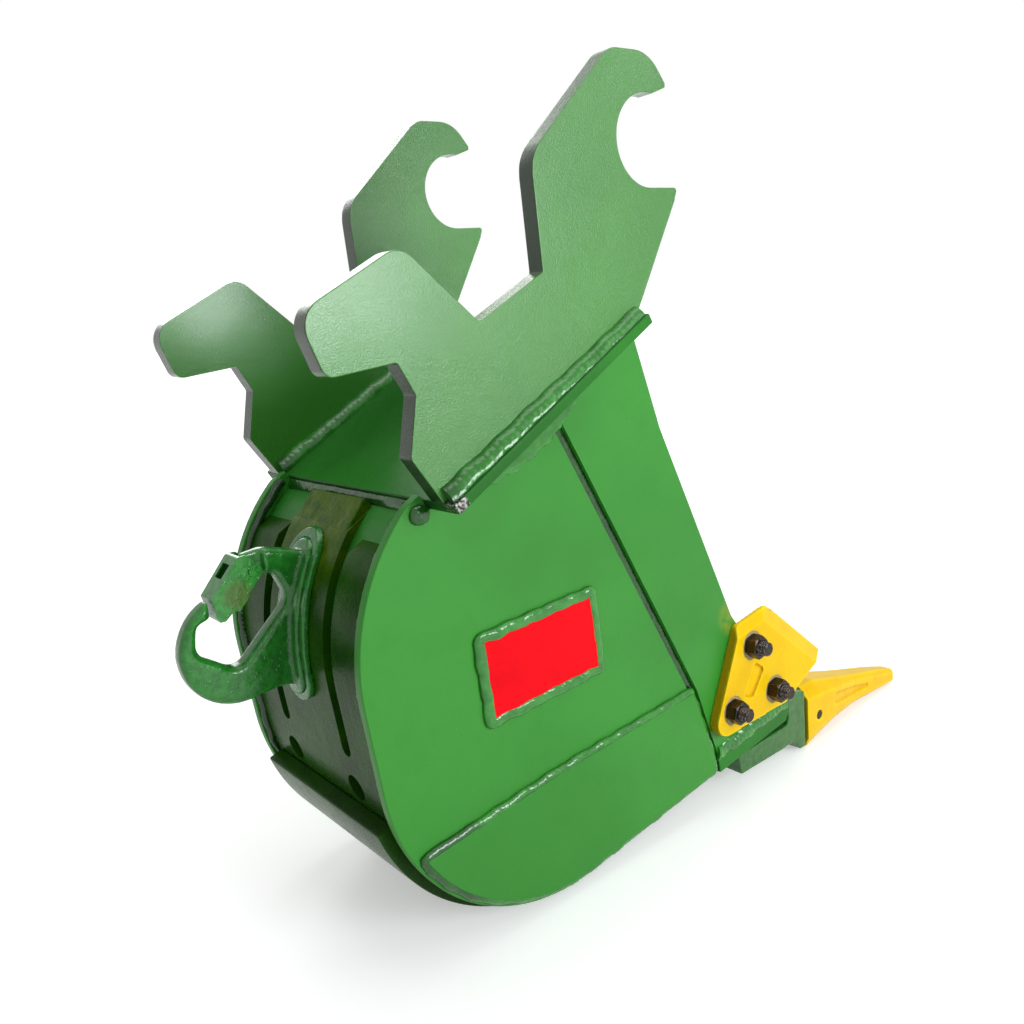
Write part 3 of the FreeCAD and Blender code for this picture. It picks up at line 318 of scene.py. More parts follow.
def back_paint(name):
    """Paint on the back, thin and yellowish over the heat of the strap's weld, scuffed low down, with a painted
    greyish reflection of the floor low down.
    """
    m = Recipe(name)
    cloud = m.noise(17.0, 4.0, 0.6)
    skin = m.noise(480.0, 2.0, 0.6)
    flow = m.noise(70.0, 3.0, 0.6, shift=(1, 9, 1))
    runs = m.noise(36.0, 3.0, 0.6, stretch=(1, 1, 0.12), shift=(0, 3, 0))
    colour = m.mix(cloud.between(0.35, 0.7), srgb(36, 84, 10), srgb(24, 62, 8))
    burnt = m.near(STRAP_HEAT, 85 * MM) * (0.35 + 0.65 * flow.between(0.35, 0.62))
    colour = m.mix(burnt * 0.8, colour, srgb(86, 112, 4))
    low = 1 - m.axis("Z").between(-600 * MM, -400 * MM)
    # Painted reflection of the floor: a greyish cloudy tint low down.
    colour = m.mix(low * cloud.between(0.3, 0.8) * 0.4, colour, srgb(44, 66, 26))
    scuffs = m.noise(150.0, 5.0, 0.75, stretch=(1, 0.15, 1), shift=(3, 0, 5)).between(0.62, 0.74) * low
    colour = m.mix(scuffs * 0.45, colour, srgb(104, 118, 88))
    rough = 0.14 + 0.14 * cloud + 0.12 * skin + 0.25 * scuffs
    normal = m.bump(runs, 1.0 * MM, 0.35)
    normal = m.bump(flow, 1.2 * MM, 0.35, under=normal)
    normal = m.bump(skin, 0.5 * MM, 0.4, under=normal)
    return m.finish(Base_Color=colour, Roughness=rough, Normal=normal, Specular_IOR_Level=0.07)


def forged_paint(name, tone, deep):
    """Gloss paint flooded over a forging, with scale marks and runs under it, and painted shade in its hollows.
    """
    m = Recipe(name)
    scale = m.noise(130.0, 5.0, 0.65)
    runs = m.noise(60.0, 3.0, 0.6, stretch=(1, 1, 0.2))
    skin = m.noise(420.0, 2.0)
    drops = m.specks(150.0, 0.22, shift=(4, 4, 4))
    colour = m.mix(scale.between(0.35, 0.65), srgb(*tone), srgb(*deep))
    colour = m.mix(drops * 0.3, colour, srgb(70, 150, 64))
    # Painted shade in the hollows of the forging.
    colour = m.mix((1 - m.crest()) * 0.5, colour, srgb(8, 44, 12))
    burnt = m.near(LATCH_HEAT, 17 * MM)
    colour = m.mix(burnt * 0.6, colour, srgb(78, 88, 12))
    normal = m.bump(scale, 0.9 * MM, 0.45)
    normal = m.bump(runs, 1.2 * MM, 0.35, under=normal)
    normal = m.bump(drops, 0.5 * MM, 0.5, under=normal)
    normal = m.bump(skin, 0.3 * MM, 0.35, under=normal)
    return m.finish(Base_Color=colour, Roughness=0.10 + 0.12 * scale, Normal=normal,
                    Specular_IOR_Level=0.45)


def cast_yellow(name):
    """Thick yellow paint on a casting: sand grain, painted shade where it faces back or down and in its
    hollows, a painted highlight on its crests, chipped edges.
    """
    m = Recipe(name)
    grain = m.noise(270.0, 3.0, 0.6)
    slow = m.noise(26.0, 3.0, shift=(2, 8, 1))
    colour = m.mix(slow.between(0.35, 0.75), srgb(238, 198, 0), srgb(228, 180, 0))
    # Painted shade on faces turned to the rear.
    back = (-m.facing("X")).between(0.35, 0.95)
    colour = m.mix(back * 0.92, colour, srgb(92, 84, 12))
    # Painted shade in hollows, and a painted highlight on crests.
    colour = m.mix((1 - m.crest(0.05)) * 0.6, colour, srgb(206, 128, 0))
    colour = m.mix(m.crest(0.05) * 0.4, colour, srgb(255, 226, 30))
    # Painted shade on faces turned down.
    under = (-m.facing("Z")).between(0.3, 0.95)
    colour = m.mix(under * 0.5, colour, srgb(168, 128, 6))
    patches = m.noise(150.0, 4.0, 0.7, shift=(7, 7, 7)).between(0.52, 0.64)
    chips = (m.edges(1.6 * MM) * patches).between(0.3, 0.6)
    chips = (chips + m.near(BARE_CUTTER_CORNER, 12 * MM) * grain.between(0.45, 0.6)).between(0.2, 0.8)
    bare = m.mix(grain.between(0.4, 0.6), srgb(70, 60, 40), srgb(140, 134, 120))
    colour = m.mix(chips, colour, bare)
    for spot in BOLT_POINTS:
        for side in SIDES.values():
            seat = m.near((spot.x, side * SEAT_OUT, spot.z), SEAT_R, core=0.92) * grain.between(0.2, 0.5)
            colour = m.mix(seat * 0.75, colour, srgb(176, 172, 160))
    dirt = m.noise(60.0, 5.0, 0.7, shift=(1, 1, 4)).between(0.58, 0.72)
    colour = m.mix(dirt * 0.22, colour, srgb(150, 110, 20))
    normal = m.bump(slow, 2.0 * MM, 0.3)
    normal = m.bump(grain, 0.8 * MM, 0.5, under=normal)
    return m.finish(Base_Color=colour, Roughness=0.28 + 0.16 * grain, Metallic=chips * 0.6, Normal=normal,
                    Specular_IOR_Level=0.09)


def red_paint(name):
    """Bare red plate with a faint brushed grain."""
    m = Recipe(name)
    skin = m.noise(640.0, 2.0)
    brushed = m.noise(120.0, 3.0, stretch=(0.06, 1, 1))
    slow = m.noise(20.0, 3.0)
    colour = m.mix(slow.between(0.3, 0.75), srgb(248, 0, 20), srgb(226, 0, 18))
    colour = m.mix(brushed.between(0.5, 0.8) * 0.2, colour, srgb(196, 0, 16))
    normal = m.bump(brushed, 0.3 * MM, 0.25)
    normal = m.bump(skin, 0.4 * MM, 0.35, under=normal)
    return m.finish(Base_Color=colour, Roughness=0.34 + 0.14 * skin, Normal=normal, Specular_IOR_Level=0.08)


def dark_bolt(name):
    """Blackened high-strength steel, rubbed bright on its corners and thread crests."""
    m = Recipe(name)
    grain = m.noise(520.0, 4.0, 0.7)
    rust = m.noise(90.0, 4.0, 0.6, shift=(5, 2, 2)).between(0.5, 0.7)
    rubbed = (m.edges(0.8 * MM) * grain.between(0.35, 0.65)).between(0.25, 0.7)
    colour = m.mix(grain.between(0.35, 0.7), srgb(34, 31, 30), srgb(70, 62, 54))
    colour = m.mix(rust * 0.45, colour, srgb(84, 58, 36))
    colour = m.mix(rubbed, colour, srgb(196, 194, 190))
    normal = m.bump(grain, 0.3 * MM, 0.5)
    return m.finish(Base_Color=colour, Roughness=0.40 - 0.14 * grain, Metallic=0.9, Normal=normal)


def plated_steel(name):
    """Zinc-plated steel with dull patches."""
    m = Recipe(name)
    grain = m.noise(640.0, 4.0, 0.7)
    dull = m.noise(140.0, 3.0, 0.6, shift=(3, 3, 3)).between(0.4, 0.7)
    colour = m.mix(grain, srgb(150, 152, 146), srgb(196, 198, 190))
    colour = m.mix(dull * 0.5, colour, srgb(96, 112, 80))
    return m.finish(Base_Color=colour, Roughness=0.26 + 0.2 * grain, Metallic=0.9,
                    Normal=m.bump(grain, 0.2 * MM, 0.4))


SIDE = green_paint("side_green", (50, 137, 40), (42, 125, 34), peel=0.3, gloss=0.34)
EAR = green_paint("ear_green", (58, 132, 40), (50, 120, 36), peel=0.8, peel_scale=820.0, gloss=0.12,
                  chips=0.3, shine=0.5, coat=0.35, painted_rear_shade=0.9)
PLATE = green_paint("plate_green", (40, 122, 34), (28, 96, 24), peel=0.5, gloss=0.26, chips=0.6,
                    shine=0.16, painted_rear_shade=0.6)
ADAPTER = forged_paint("adapter_green", (56, 124, 46), (44, 104, 36))
INSIDE = green_paint("inside_green", (40, 122, 34), (30, 100, 26), peel=0.5, gloss=0.36)
BACK = back_paint("back_green")
HOOK = forged_paint("hook_green", (46, 142, 46), (32, 116, 34))
WELD = weld_paint("weld_green", (52, 142, 44), (38, 120, 32))
# Darker copy of the weld paint: painted shade on the beads along the back and in the side seams.
SHADED_WELD = weld_paint("shaded_weld_green", (26, 84, 20), (14, 56, 12))
YELLOW = cast_yellow("cast_yellow")
RED = red_paint("red_plate")
BOLT = dark_bolt("dark_bolt")
STEEL = plated_steel("plated_steel")


# Objects, and pieces made from the frame's own solids
def link(name, mesh):
    """New object of the scene for a mesh, curve, camera or lamp."""
    piece = bpy.data.objects.new(name, mesh)
    bpy.context.scene.collection.objects.link(piece)
    return piece


def linked(name, mesh):
    """New object of the scene from an editable mesh, which ends here."""
    data = bpy.data.meshes.new(name)
    mesh.to_mesh(data)
    mesh.free()
    return link(name, data)


def applied(piece, name):
    """Plain mesh object with the modifiers worked in."""
    bpy.context.view_layer.update()
    evaluated = piece.evaluated_get(bpy.context.evaluated_depsgraph_get())
    mesh = bpy.data.meshes.new_from_object(evaluated)
    bpy.data.objects.remove(piece)
    return link(name, mesh)


def joined(node):
    """Editable copy of a node's mesh with its corners joined."""
    mesh = bmesh.new()
    mesh.from_mesh(frame["nodes"][node].data)
    bmesh.ops.remove_doubles(mesh, verts=mesh.verts, dist=0.01 * MM)
    return mesh


def whole(node):
    """Copy of a node whose flat faces are made whole."""
    mesh = joined(node)
    bmesh.ops.dissolve_degenerate(mesh, dist=0.4 * MM, edges=mesh.edges)
    bmesh.ops.dissolve_limit(mesh, angle_limit=math.radians(0.4), verts=mesh.verts, edges=mesh.edges)
    return linked(node + "_blank", mesh)


def settle(piece, finish, body="bucket", stands_for=()):
    """Give a finished piece its material, body and slot, and hide the nodes it stands for."""
    piece.data.materials.clear()
    piece.data.materials.append(finish)
    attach(piece, body)
    if stands_for:
        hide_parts(*stands_for)
    return piece


def flame_cut(node, finish, edge=1.2, body="bucket"):
    """Plate with its edges broken by a small round, in millimetres. An edge of 0 stays sharp."""
    piece = whole(node)
    for face in piece.data.polygons:
        face.use_smooth = edge > 0
    bevel = piece.modifiers.new("edge", "BEVEL")
    bevel.width = edge * MM
    bevel.segments = 2
    bevel.limit_method = "ANGLE"
    bevel.angle_limit = math.radians(32)
    even = piece.modifiers.new("even", "WEIGHTED_NORMAL")
    even.mode = "FACE_AREA"
    even.weight = 90
    return settle(applied(piece, node + "_finished"), finish, body, (node,))


def cast(node, finish, voxel, rounds, sizes, body="bucket"):
    """Casting, forging or weld: the node's form with all its edges flowed and a lumpy skin."""
    return flowed(whole(node), node, finish, voxel, rounds, sizes, body, (node,))


def flowed(piece, name, finish, voxel, rounds, sizes, body="bucket", stands_for=()):
    """Piece meshed anew in voxels of so many millimetres, smoothed in rounds and given a lumpy skin."""
    mesher = piece.modifiers.new("mesh", "REMESH")
    mesher.mode = "VOXEL"
    mesher.voxel_size = voxel * MM
    mesher.use_smooth_shade = True
    flow = piece.modifiers.new("flow", "SMOOTH")
    flow.factor = 0.5
    flow.iterations = rounds
    piece = applied(piece, name + "_flowed")
    grow(piece, LUMPS, dict(sizes, Material=finish))
    return settle(applied(piece, name + "_finished"), finish, body, stands_for)


# Geometry nodes
class Plan:
    """A geometry node tree with named sizes, built from node calls."""

    def __init__(self, name, sizes):
        self.tree = bpy.data.node_groups.new(name, "GeometryNodeTree")
        face = self.tree.interface
        face.new_socket("Geometry", in_out="INPUT", socket_type="NodeSocketGeometry")
        for label, value in sizes.items():
            number = isinstance(value, float)
            kind = "NodeSocketFloat" if number else value
            socket = face.new_socket(label, in_out="INPUT", socket_type=kind)
            if number:
                socket.default_value = value
        face.new_socket("Geometry", in_out="OUTPUT", socket_type="NodeSocketGeometry")
        self.given = self.tree.nodes.new("NodeGroupInput").outputs

    def add(self, kind, settings=None, inputs=None):
        """New node with its settings and inputs."""
        made = self.tree.nodes.new(kind)
        for key, value in (settings or {}).items():
            setattr(made, key, value)
        for key, value in (inputs or {}).items():
            if isinstance(value, bpy.types.NodeSocket):
                self.tree.links.new(value, made.inputs[key])
            else:
                made.inputs[key].default_value = value
        return made

    def calc(self, operation, first, second=0.0):
        """One sum or product of two numbers."""
        return self.add("ShaderNodeMath", {"operation": operation}, {0: first, 1: second}).outputs[0]

    def scaled(self, vector, length):
        """Vector times a number."""
        return self.add("ShaderNodeVectorMath", {"operation": "SCALE"}, {0: vector, "Scale": length}).outputs[0]

    def noise(self, scale):
        """Noise in space that differs by seed."""
        return self.add("ShaderNodeTexNoise", {"noise_dimensions": "4D"},
                        {"W": self.given["Seed"], "Scale": scale, "Detail": 2.0}).outputs[0]

    def kept(self, geometry, label, value):
        """Geometry that carries a value along, and that value."""
        store = self.add("GeometryNodeCaptureAttribute", {}, {"Geometry": geometry})
        store.capture_items.new("FLOAT", label)
        self.tree.links.new(value, store.inputs[label])
        return store.outputs["Geometry"], store.outputs[label]

    def pushed(self, geometry, height):
        """Surface pushed out along its own normal."""
        push = self.scaled(self.add("GeometryNodeInputNormal").outputs[0], height)
        return self.add("GeometryNodeSetPosition", {}, {"Geometry": geometry, "Offset": push}).outputs[0]

    def close(self, geometry, smooth=True):
        """Make the geometry real, give it its material and hand it out."""
        if smooth:
            geometry = self.add("GeometryNodeSetShadeSmooth", {}, {"Geometry": geometry}).outputs[0]
        real = self.add("GeometryNodeRealizeInstances", {}, {"Geometry": geometry}).outputs[0]
        done = self.add("GeometryNodeSetMaterial", {}, {"Geometry": real, "Material": self.given["Material"]})
        self.tree.links.new(done.outputs[0], self.tree.nodes.new("NodeGroupOutput").inputs[0])
        return self.tree


def grow(source, tree, inputs):
    """Put a geometry node tree on an object, with each named size set by its socket's identifier."""
    modifier = source.modifiers.new("grown", "NODES")
    modifier.node_group = tree
    for item in tree.interface.items_tree:
        if item.item_type == "SOCKET" and item.in_out == "INPUT" and item.name in inputs:
            modifier[item.identifier] = inputs[item.name]
    source.update_tag()


def bead_plan():
    """Rippled bead swept along the object's own curve."""
    plan = Plan("weld bead", {"Radius": 0.006, "Flatness": 0.7, "Ripple pitch": 0.006, "Ripple height": 0.0006,
                              "Weave": 0.001, "Weave pitch": 0.018, "Unevenness": 0.0015, "Step": 0.0012,
                              "Seed": 1.0, "Up": "NodeSocketVector", "Material": "NodeSocketMaterial"})
    given, calc = plan.given, plan.calc
    path = plan.add("GeometryNodeResampleCurve", {"mode": "LENGTH"},
                    {"Curve": given["Geometry"], "Length": given["Step"]}).outputs[0]
    path = plan.add("GeometryNodeSetCurveNormal", {"mode": "FREE"},
                    {"Curve": path, "Normal": given["Up"]}).outputs[0]
    length = plan.add("GeometryNodeSplineParameter").outputs["Length"]
    path, along = plan.kept(path, "Along", length)
    tangent = plan.add("GeometryNodeInputTangent").outputs[0]
    sideways = plan.add("ShaderNodeVectorMath", {"operation": "CROSS_PRODUCT"},
                        {0: tangent, 1: given["Up"]}).outputs[0]
    turn = calc("MULTIPLY", calc("DIVIDE", length, given["Weave pitch"]), math.pi * 2)
    wander = calc("MULTIPLY", calc("SUBTRACT", plan.noise(55.0), 0.5), 3.0)
    swing = calc("MULTIPLY", calc("ADD", calc("SINE", turn), wander), given["Weave"])
    path = plan.add("GeometryNodeSetPosition", {},
                    {"Geometry": path, "Offset": plan.scaled(sideways, swing)}).outputs[0]
    ring = plan.add("GeometryNodeCurvePrimitiveCircle", {},
                    {"Resolution": 22, "Radius": given["Radius"]}).outputs[0]
    where = plan.add("ShaderNodeSeparateXYZ", {}, {0: plan.add("GeometryNodeInputPosition").outputs[0]}).outputs
    ring, side = plan.kept(ring, "Side", calc("DIVIDE", where[1], given["Radius"]))
    flat = plan.add("ShaderNodeCombineXYZ", {}, {0: given["Flatness"], 1: 1.0, 2: 1.0}).outputs[0]
    ring = plan.add("GeometryNodeTransform", {}, {"Geometry": ring, "Scale": flat}).outputs[0]
    body = plan.add("GeometryNodeCurveToMesh", {}, {"Curve": path, "Profile Curve": ring,
                                                    "Fill Caps": True}).outputs[0]
    bow = calc("MULTIPLY", calc("MULTIPLY", side, side), 0.9)
    drift = calc("MULTIPLY", plan.noise(40.0), 1.6)
    phase = calc("ADD", calc("ADD", calc("DIVIDE", along, given["Ripple pitch"]), bow), drift)
    ripple = calc("MULTIPLY", calc("SINE", calc("MULTIPLY", phase, math.pi * 2)), given["Ripple height"])
    coarse = calc("MULTIPLY", calc("SUBTRACT", plan.noise(48.0), 0.5),
                  calc("MULTIPLY", given["Unevenness"], 2.0))
    fine = calc("MULTIPLY", calc("SUBTRACT", plan.noise(180.0), 0.5),
                calc("MULTIPLY", given["Unevenness"], 0.25))
    return plan.close(plan.pushed(body, calc("ADD", ripple, calc("ADD", coarse, fine))))


def lump_plan():
    """Lumpy skin of a weld or a forging, with runs across the way of travel."""
    plan = Plan("lumpy skin", {"Lump height": 0.001, "Lump scale": 60.0, "Grain height": 0.0004,
                               "Grain scale": 220.0, "Run height": 0.0, "Run pitch": 0.008, "Seed": 1.0,
                               "Travel": "NodeSocketVector", "Material": "NodeSocketMaterial"})
    given, calc = plan.given, plan.calc
    where = plan.add("GeometryNodeInputPosition").outputs[0]
    travel = plan.add("ShaderNodeVectorMath", {"operation": "DOT_PRODUCT"},
                      {0: where, 1: given["Travel"]})
    drift = calc("MULTIPLY", plan.noise(35.0), 2.4)
    turn = calc("MULTIPLY", calc("ADD", calc("DIVIDE", travel.outputs["Value"], given["Run pitch"]), drift),
                math.pi * 2)
    run = calc("MULTIPLY", calc("SINE", turn), given["Run height"])
    lump = calc("MULTIPLY", calc("SUBTRACT", plan.noise(given["Lump scale"]), 0.5), given["Lump height"])
    grain = calc("MULTIPLY", calc("SUBTRACT", plan.noise(given["Grain scale"]), 0.5), given["Grain height"])
    return plan.close(plan.pushed(given["Geometry"], calc("ADD", run, calc("ADD", lump, grain))))


def copies_plan():
    """One piece set at each of the object's own points."""
    plan = Plan("bolt pattern", {"Piece": "NodeSocketObject", "Material": "NodeSocketMaterial"})
    piece = plan.add("GeometryNodeObjectInfo", {}, {"Object": plan.given["Piece"]}).outputs["Geometry"]
    points = plan.add("GeometryNodeMeshToPoints", {}, {"Mesh": plan.given["Geometry"]}).outputs[0]
    placed = plan.add("GeometryNodeInstanceOnPoints", {}, {"Points": points, "Instance": piece}).outputs[0]
    return plan.close(placed, smooth=False)


def wire_plan():
    """Round wire wound along the object's own curve."""
    plan = Plan("wound wire", {"Wire radius": 0.0007, "Material": "NodeSocketMaterial"})
    ring = plan.add("GeometryNodeCurvePrimitiveCircle", {},
                    {"Resolution": 10, "Radius": plan.given["Wire radius"]})
    body = plan.add("GeometryNodeCurveToMesh", {}, {"Curve": plan.given["Geometry"],
                                                    "Profile Curve": ring.outputs[0], "Fill Caps": True})
    return plan.close(body.outputs[0])


BEAD = bead_plan()
LUMPS = lump_plan()
COPIES = copies_plan()
WIRE = wire_plan()


def path_object(points, closed=False):
    """Curve object through points."""
    curve = bpy.data.curves.new("path", "CURVE")
    curve.dimensions = "3D"
    spline = curve.splines.new("POLY")
    spline.points.add(len(points) - 1)
    for spot, p in zip(spline.points, points):
        spot.co = (p.x, p.y, p.z, 1.0)
    spline.use_cyclic_u = closed
    return link("path", curve)


def lumps(lump, lump_scale, grain, seed, run=0.0, run_pitch=8.0, travel=(0.0, 0.0, 1.0)):
    """Named sizes of a lumpy skin. Heights and pitch are in millimetres."""
    return {"Lump height": lump * MM, "Lump scale": lump_scale, "Grain height": grain * MM, "Seed": seed,
            "Run height": run * MM, "Run pitch": run_pitch * MM, "Travel": tuple(travel)}


def bead(name, points, radius, up, closed=False, finish=None, stands_for=(), **sizes):
    """Weld bead along points, flattened along the up direction. Sizes are in millimetres."""
    path = path_object(points, closed)
    up = Vector(up).normalized()
    inputs = {"Radius": radius * MM, "Up": tuple(up), "Material": finish or WELD, "Seed": float(len(name))}
    for key, value in sizes.items():
        inputs[key.replace("_", " ")] = value if key == "Flatness" else value * MM
    grow(path, BEAD, inputs)
    return settle(applied(path, name), finish or WELD, stands_for=stands_for)


def face_loops(node, level, tolerance=0.02 * MM):
    """Closed outlines of a node's flat face at a Y level, longest first, in the same order each run."""
    mesh = joined(node)
    flat = [f for f in mesh.faces if all(abs(v.co.y - level) < tolerance for v in f.verts)]
    border = [e for e in mesh.edges if sum(f in flat for f in e.link_faces) == 1]
    loops = []
    while border:
        edge = border.pop(0)
        loop = [edge.verts[0], edge.verts[1]]
        while True:
            following = next((e for e in loop[-1].link_edges if e in border), None)
            if following is None:
                break
            border.remove(following)
            loop.append(following.other_vert(loop[-1]))
        loops.append([v.co.copy() for v in loop[:-1]])
    mesh.free()
    return sorted(loops, key=lambda points: -sum((p - q).length for p, q in zip(points, points[1:])))


# Plates
def plates():
    """Every piece cut or bent from plate."""
    flame_cut("top_plate", PLATE, 1.4)
    for side in SIDES:
        flame_cut("ear_" + side, EAR, 1.6)
        flame_cut("side_plate_" + side, SIDE, 1.3)
        flame_cut("side_bar_" + side, SIDE, 1.6)
        flame_cut("side_wear_plate_" + side, SIDE, 0.0)
    flame_cut("shell", INSIDE, 0.8)
    flame_cut("back_wear_plate", BACK, 1.2)
    flame_cut("heel_wear_strip", BACK, 1.8)
    flame_cut("lip_plate", PLATE, 1.6)
    flame_cut("name_plate", RED, 0.8)


# Castings and forgings
def castings():
    """Teeth, side cutters, adapters and the lifting hook with its latch."""
    for side in SIDES:
        cast("tooth_" + side, YELLOW, 1.5, 5, lumps(0.8, 40.0, 0.25, 2.0))
        cast("side_cutter_" + side, YELLOW, 1.2, 3, lumps(0.5, 45.0, 0.2, 3.0))
        cast("adapter_" + side, ADAPTER, 1.5, 6, lumps(0.9, 45.0, 0.25, 4.0))
    cast("lifting_hook", HOOK, 1.1, 34, lumps(1.1, 45.0, 0.2, 5.0))
    flame_cut("hook_latch", HOOK, 0.5, body="latch")
    flame_cut("latch_pin", HOOK, 0.5, body="latch")


# Welds
def ear_beads():
    """Beads along both feet of both ears."""
    low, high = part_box("ear_welds")
    leg, inset, away, lift = 9.0 * MM, 2.0 * MM, 2.2 * MM, 1.6 * MM
    start = Vector((low[0], 0, low[2])) + UP_SLOPE * inset
    end = Vector((high[0], 0, high[2])) - OFF_SLOPE * leg - UP_SLOPE * inset
    stands_for = ("ear_welds",)
    for ear in SIDES:
        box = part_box("ear_" + ear)
        for y, outward, ending in ((box[0][1], -1, "_low"), (box[1][1], 1, "_high")):
            side = Vector((0, outward, 0))
            shift = Vector((0, y, 0)) + side * away + OFF_SLOPE * lift
            bead("ear_bead_" + ear + ending, [start + shift, end + shift], 10.0, side + OFF_SLOPE,
                 stands_for=stands_for, Flatness=0.72, Ripple_pitch=6.5, Ripple_height=0.12, Weave=0.8,
                 Weave_pitch=37.0, Unevenness=1.5)
            stands_for = ()


def plate_beads():
    """Beads round the lower side wear plates and the name plate."""
    stands_for = ("wear_plate_welds",)
    for label, side in SIDES.items():
        node = "side_wear_plate_" + label
        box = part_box(node)
        y = box[0][1] if side < 0 else box[1][1]
        points = [Vector((p.x, y - side * 5.0 * MM, p.z)) for p in face_loops(node, y)[0]]
        bead("wear_bead_" + label, points, 6.0, (0, side, 0), closed=True, stands_for=stands_for,
             Flatness=0.7, Ripple_height=0.12, Ripple_pitch=6.0, Weave=0.5, Weave_pitch=31.0, Unevenness=1.6)
        stands_for = ()
    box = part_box("name_plate")
    points = [Vector((p.x, box[1][1] - 1.5 * MM, p.z)) for p in face_loops("name_plate", box[0][1])[0]]
    bead("name_bead", points, 6.0, (0, -1, 0), closed=True, stands_for=("name_plate_welds",),
         Flatness=0.62, Ripple_height=0.08, Ripple_pitch=5.0, Weave=0.5, Weave_pitch=26.0, Unevenness=1.8)


def back_path(radius, first, last, y):
    """Points along the curve of the back, from one angle on the crown to one on the heel."""
    points = []
    for degrees in range(first, last + 1, 2):
        centre = CROWN_CENTRE if degrees < 185 else HEEL_CENTRE
        a = math.radians(degrees)
        points.append(centre + Vector((math.cos(a), 0, math.sin(a))) * radius + Vector((0, y, 0)))
    return points


def side_beads(label, back_nodes=(), lip_nodes=()):
    """Beads beside the back panels, in the seam and along the lip, on one side."""
    side = SIDES[label]
    beside = back_path(WEAR_R + 0.5 * MM, 131, 276, side * (INNER_HALF - 1.0 * MM))
    # Painted shade: the back bead takes the darker copy of the weld paint.
    bead("back_bead_" + label, beside, 4.6, (0, -side, 0), finish=SHADED_WELD, stands_for=back_nodes,
         Flatness=0.9, Ripple_height=0.15, Ripple_pitch=4.5, Weave=0.5, Weave_pitch=28.0, Unevenness=1.6)
    groove = Vector((-3.8 * MM, side * (BODY_HALF - 3.2 * MM), 0))
    seam = [corner + groove for corner in (SEAM_TOP, SEAM_BEND, LIP_REAR)]
    # Painted shade: the seam bead takes the darker copy of the weld paint too.
    bead("seam_bead_" + label, seam, 4.6, (0, side, 0), finish=SHADED_WELD, Flatness=0.5,
         Ripple_height=0.15, Ripple_pitch=5.0, Weave=0.2, Unevenness=1.0)
    edge = Vector((0, side * (BAR_OUT - 4.5 * MM), 0))
    bead("lip_bead_" + label, [LIP_REAR + edge, LIP_FRONT + edge], 10.5, (0, side, 0),
         stands_for=lip_nodes, Flatness=0.8, Ripple_height=0.3, Ripple_pitch=7.0, Weave=1.0,
         Weave_pitch=25.0, Unevenness=3.0)


def strap_weld():
    """Weld patch over the top end of the strap, thinning out down the strap."""
    upper, lower = math.radians(131.3), math.radians(143.0)
    inside, thick, thin, width = 178.5 * MM, 188.4 * MM, 187.0 * MM, 98.0 * MM
    mesh = bmesh.new()
    bmesh.ops.create_cube(mesh, size=1.0)
    for v in mesh.verts:
        a = upper if v.co.x > 0 else lower
        reach = inside if v.co.z < 0 else thick if v.co.x > 0 else thin
        v.co = CROWN_CENTRE + Vector((math.cos(a) * reach, v.co.y * width, math.sin(a) * reach))
    bmesh.ops.recalc_face_normals(mesh, faces=mesh.faces)
    flowed(linked("strap_blank", mesh), "strap_weld", BACK, 1.0, 3, lumps(3.0, 30.0, 0.7, 11.0))


def under_beads():
    """Bead along the lower edge of the weld lens under the top plate, on each side."""
    rear, length, depth, sag, steps = -345.0 * MM, 210.0 * MM, 128.0 * MM, 32.0 * MM, 40
    for label, side in SIDES.items():
        beside = Vector((0, side * (BODY_HALF + 0.4 * MM), 0))
        points = []
        for step in range(steps + 1):
            t = step / steps
            below = depth + sag * 4 * t * (1 - t)
            points.append(UP_SLOPE * (rear + length * t) - OFF_SLOPE * below + beside)
        bead("under_bead_" + label, points, 4.0, (0, side, 0), Flatness=0.45, Ripple_height=0.1,
             Weave=1.6, Weave_pitch=23.0, Unevenness=1.6)


def body_beads():
    """Beads and weld patches of the body."""
    side_beads("right", ("back_welds",), ("lip_welds",))
    side_beads("left")
    cast("top_plate_welds", WELD, 1.0, 2, lumps(2.0, 30.0, 0.5, 6.0, 0.12, 13.0, UP_SLOPE))
    cast("hook_foot_weld", HOOK, 1.1, 8, lumps(2.0, 40.0, 0.5, 7.0))
    strap_weld()
    under_beads()


def ball_welds():
    """Round weld where the top plate, side plate and back meet, on each side."""
    for label, side in SIDES.items():
        corner = Vector((-269.5, side * 128.5, -291.5)) * MM
        mesh = bmesh.new()
        bmesh.ops.create_icosphere(mesh, subdivisions=4, radius=8.5 * MM)
        for v in mesh.verts:
            v.co = Vector((v.co.x * 1.15, v.co.y * 0.8, v.co.z)) + corner
        ball = linked("ball_blank", mesh)
        grow(ball, LUMPS, dict(lumps(6.0, 80.0, 2.0, 9.0 + side), Material=WELD))
        settle(applied(ball, "corner_weld_" + label), WELD)


# Bolts, nuts and spring
def turned(name, rows, columns, radius_at):
    """Closed turned piece along +Y. Rows are (y, radius), and radius_at changes a radius round the axis.

    A radius of NO_LIMIT leaves the reach to radius_at."""
    mesh = bmesh.new()
    rings = []
    for y, r in rows:
        ring = []
        for i in range(columns):
            a = 2 * math.pi * i / columns
            reach = radius_at(a, y, r)
            ring.append(mesh.verts.new((reach * math.cos(a), y, reach * math.sin(a))))
        rings.append(ring)
    for ring, following in zip(rings, rings[1:]):
        for i in range(columns):
            j = (i + 1) % columns
            mesh.faces.new((ring[i], following[i], following[j], ring[j]))
    mesh.faces.new(rings[0])
    mesh.faces.new(list(reversed(rings[-1])))
    bmesh.ops.recalc_face_normals(mesh, faces=mesh.faces)
    return linked(name, mesh)


def hex_radius(a):
    """Reach of the nut's hexagon at an angle."""
    step = math.radians(60)
    off = (a - math.radians(15)) % step - step / 2
    return NUT_AF / 2 / math.cos(off)


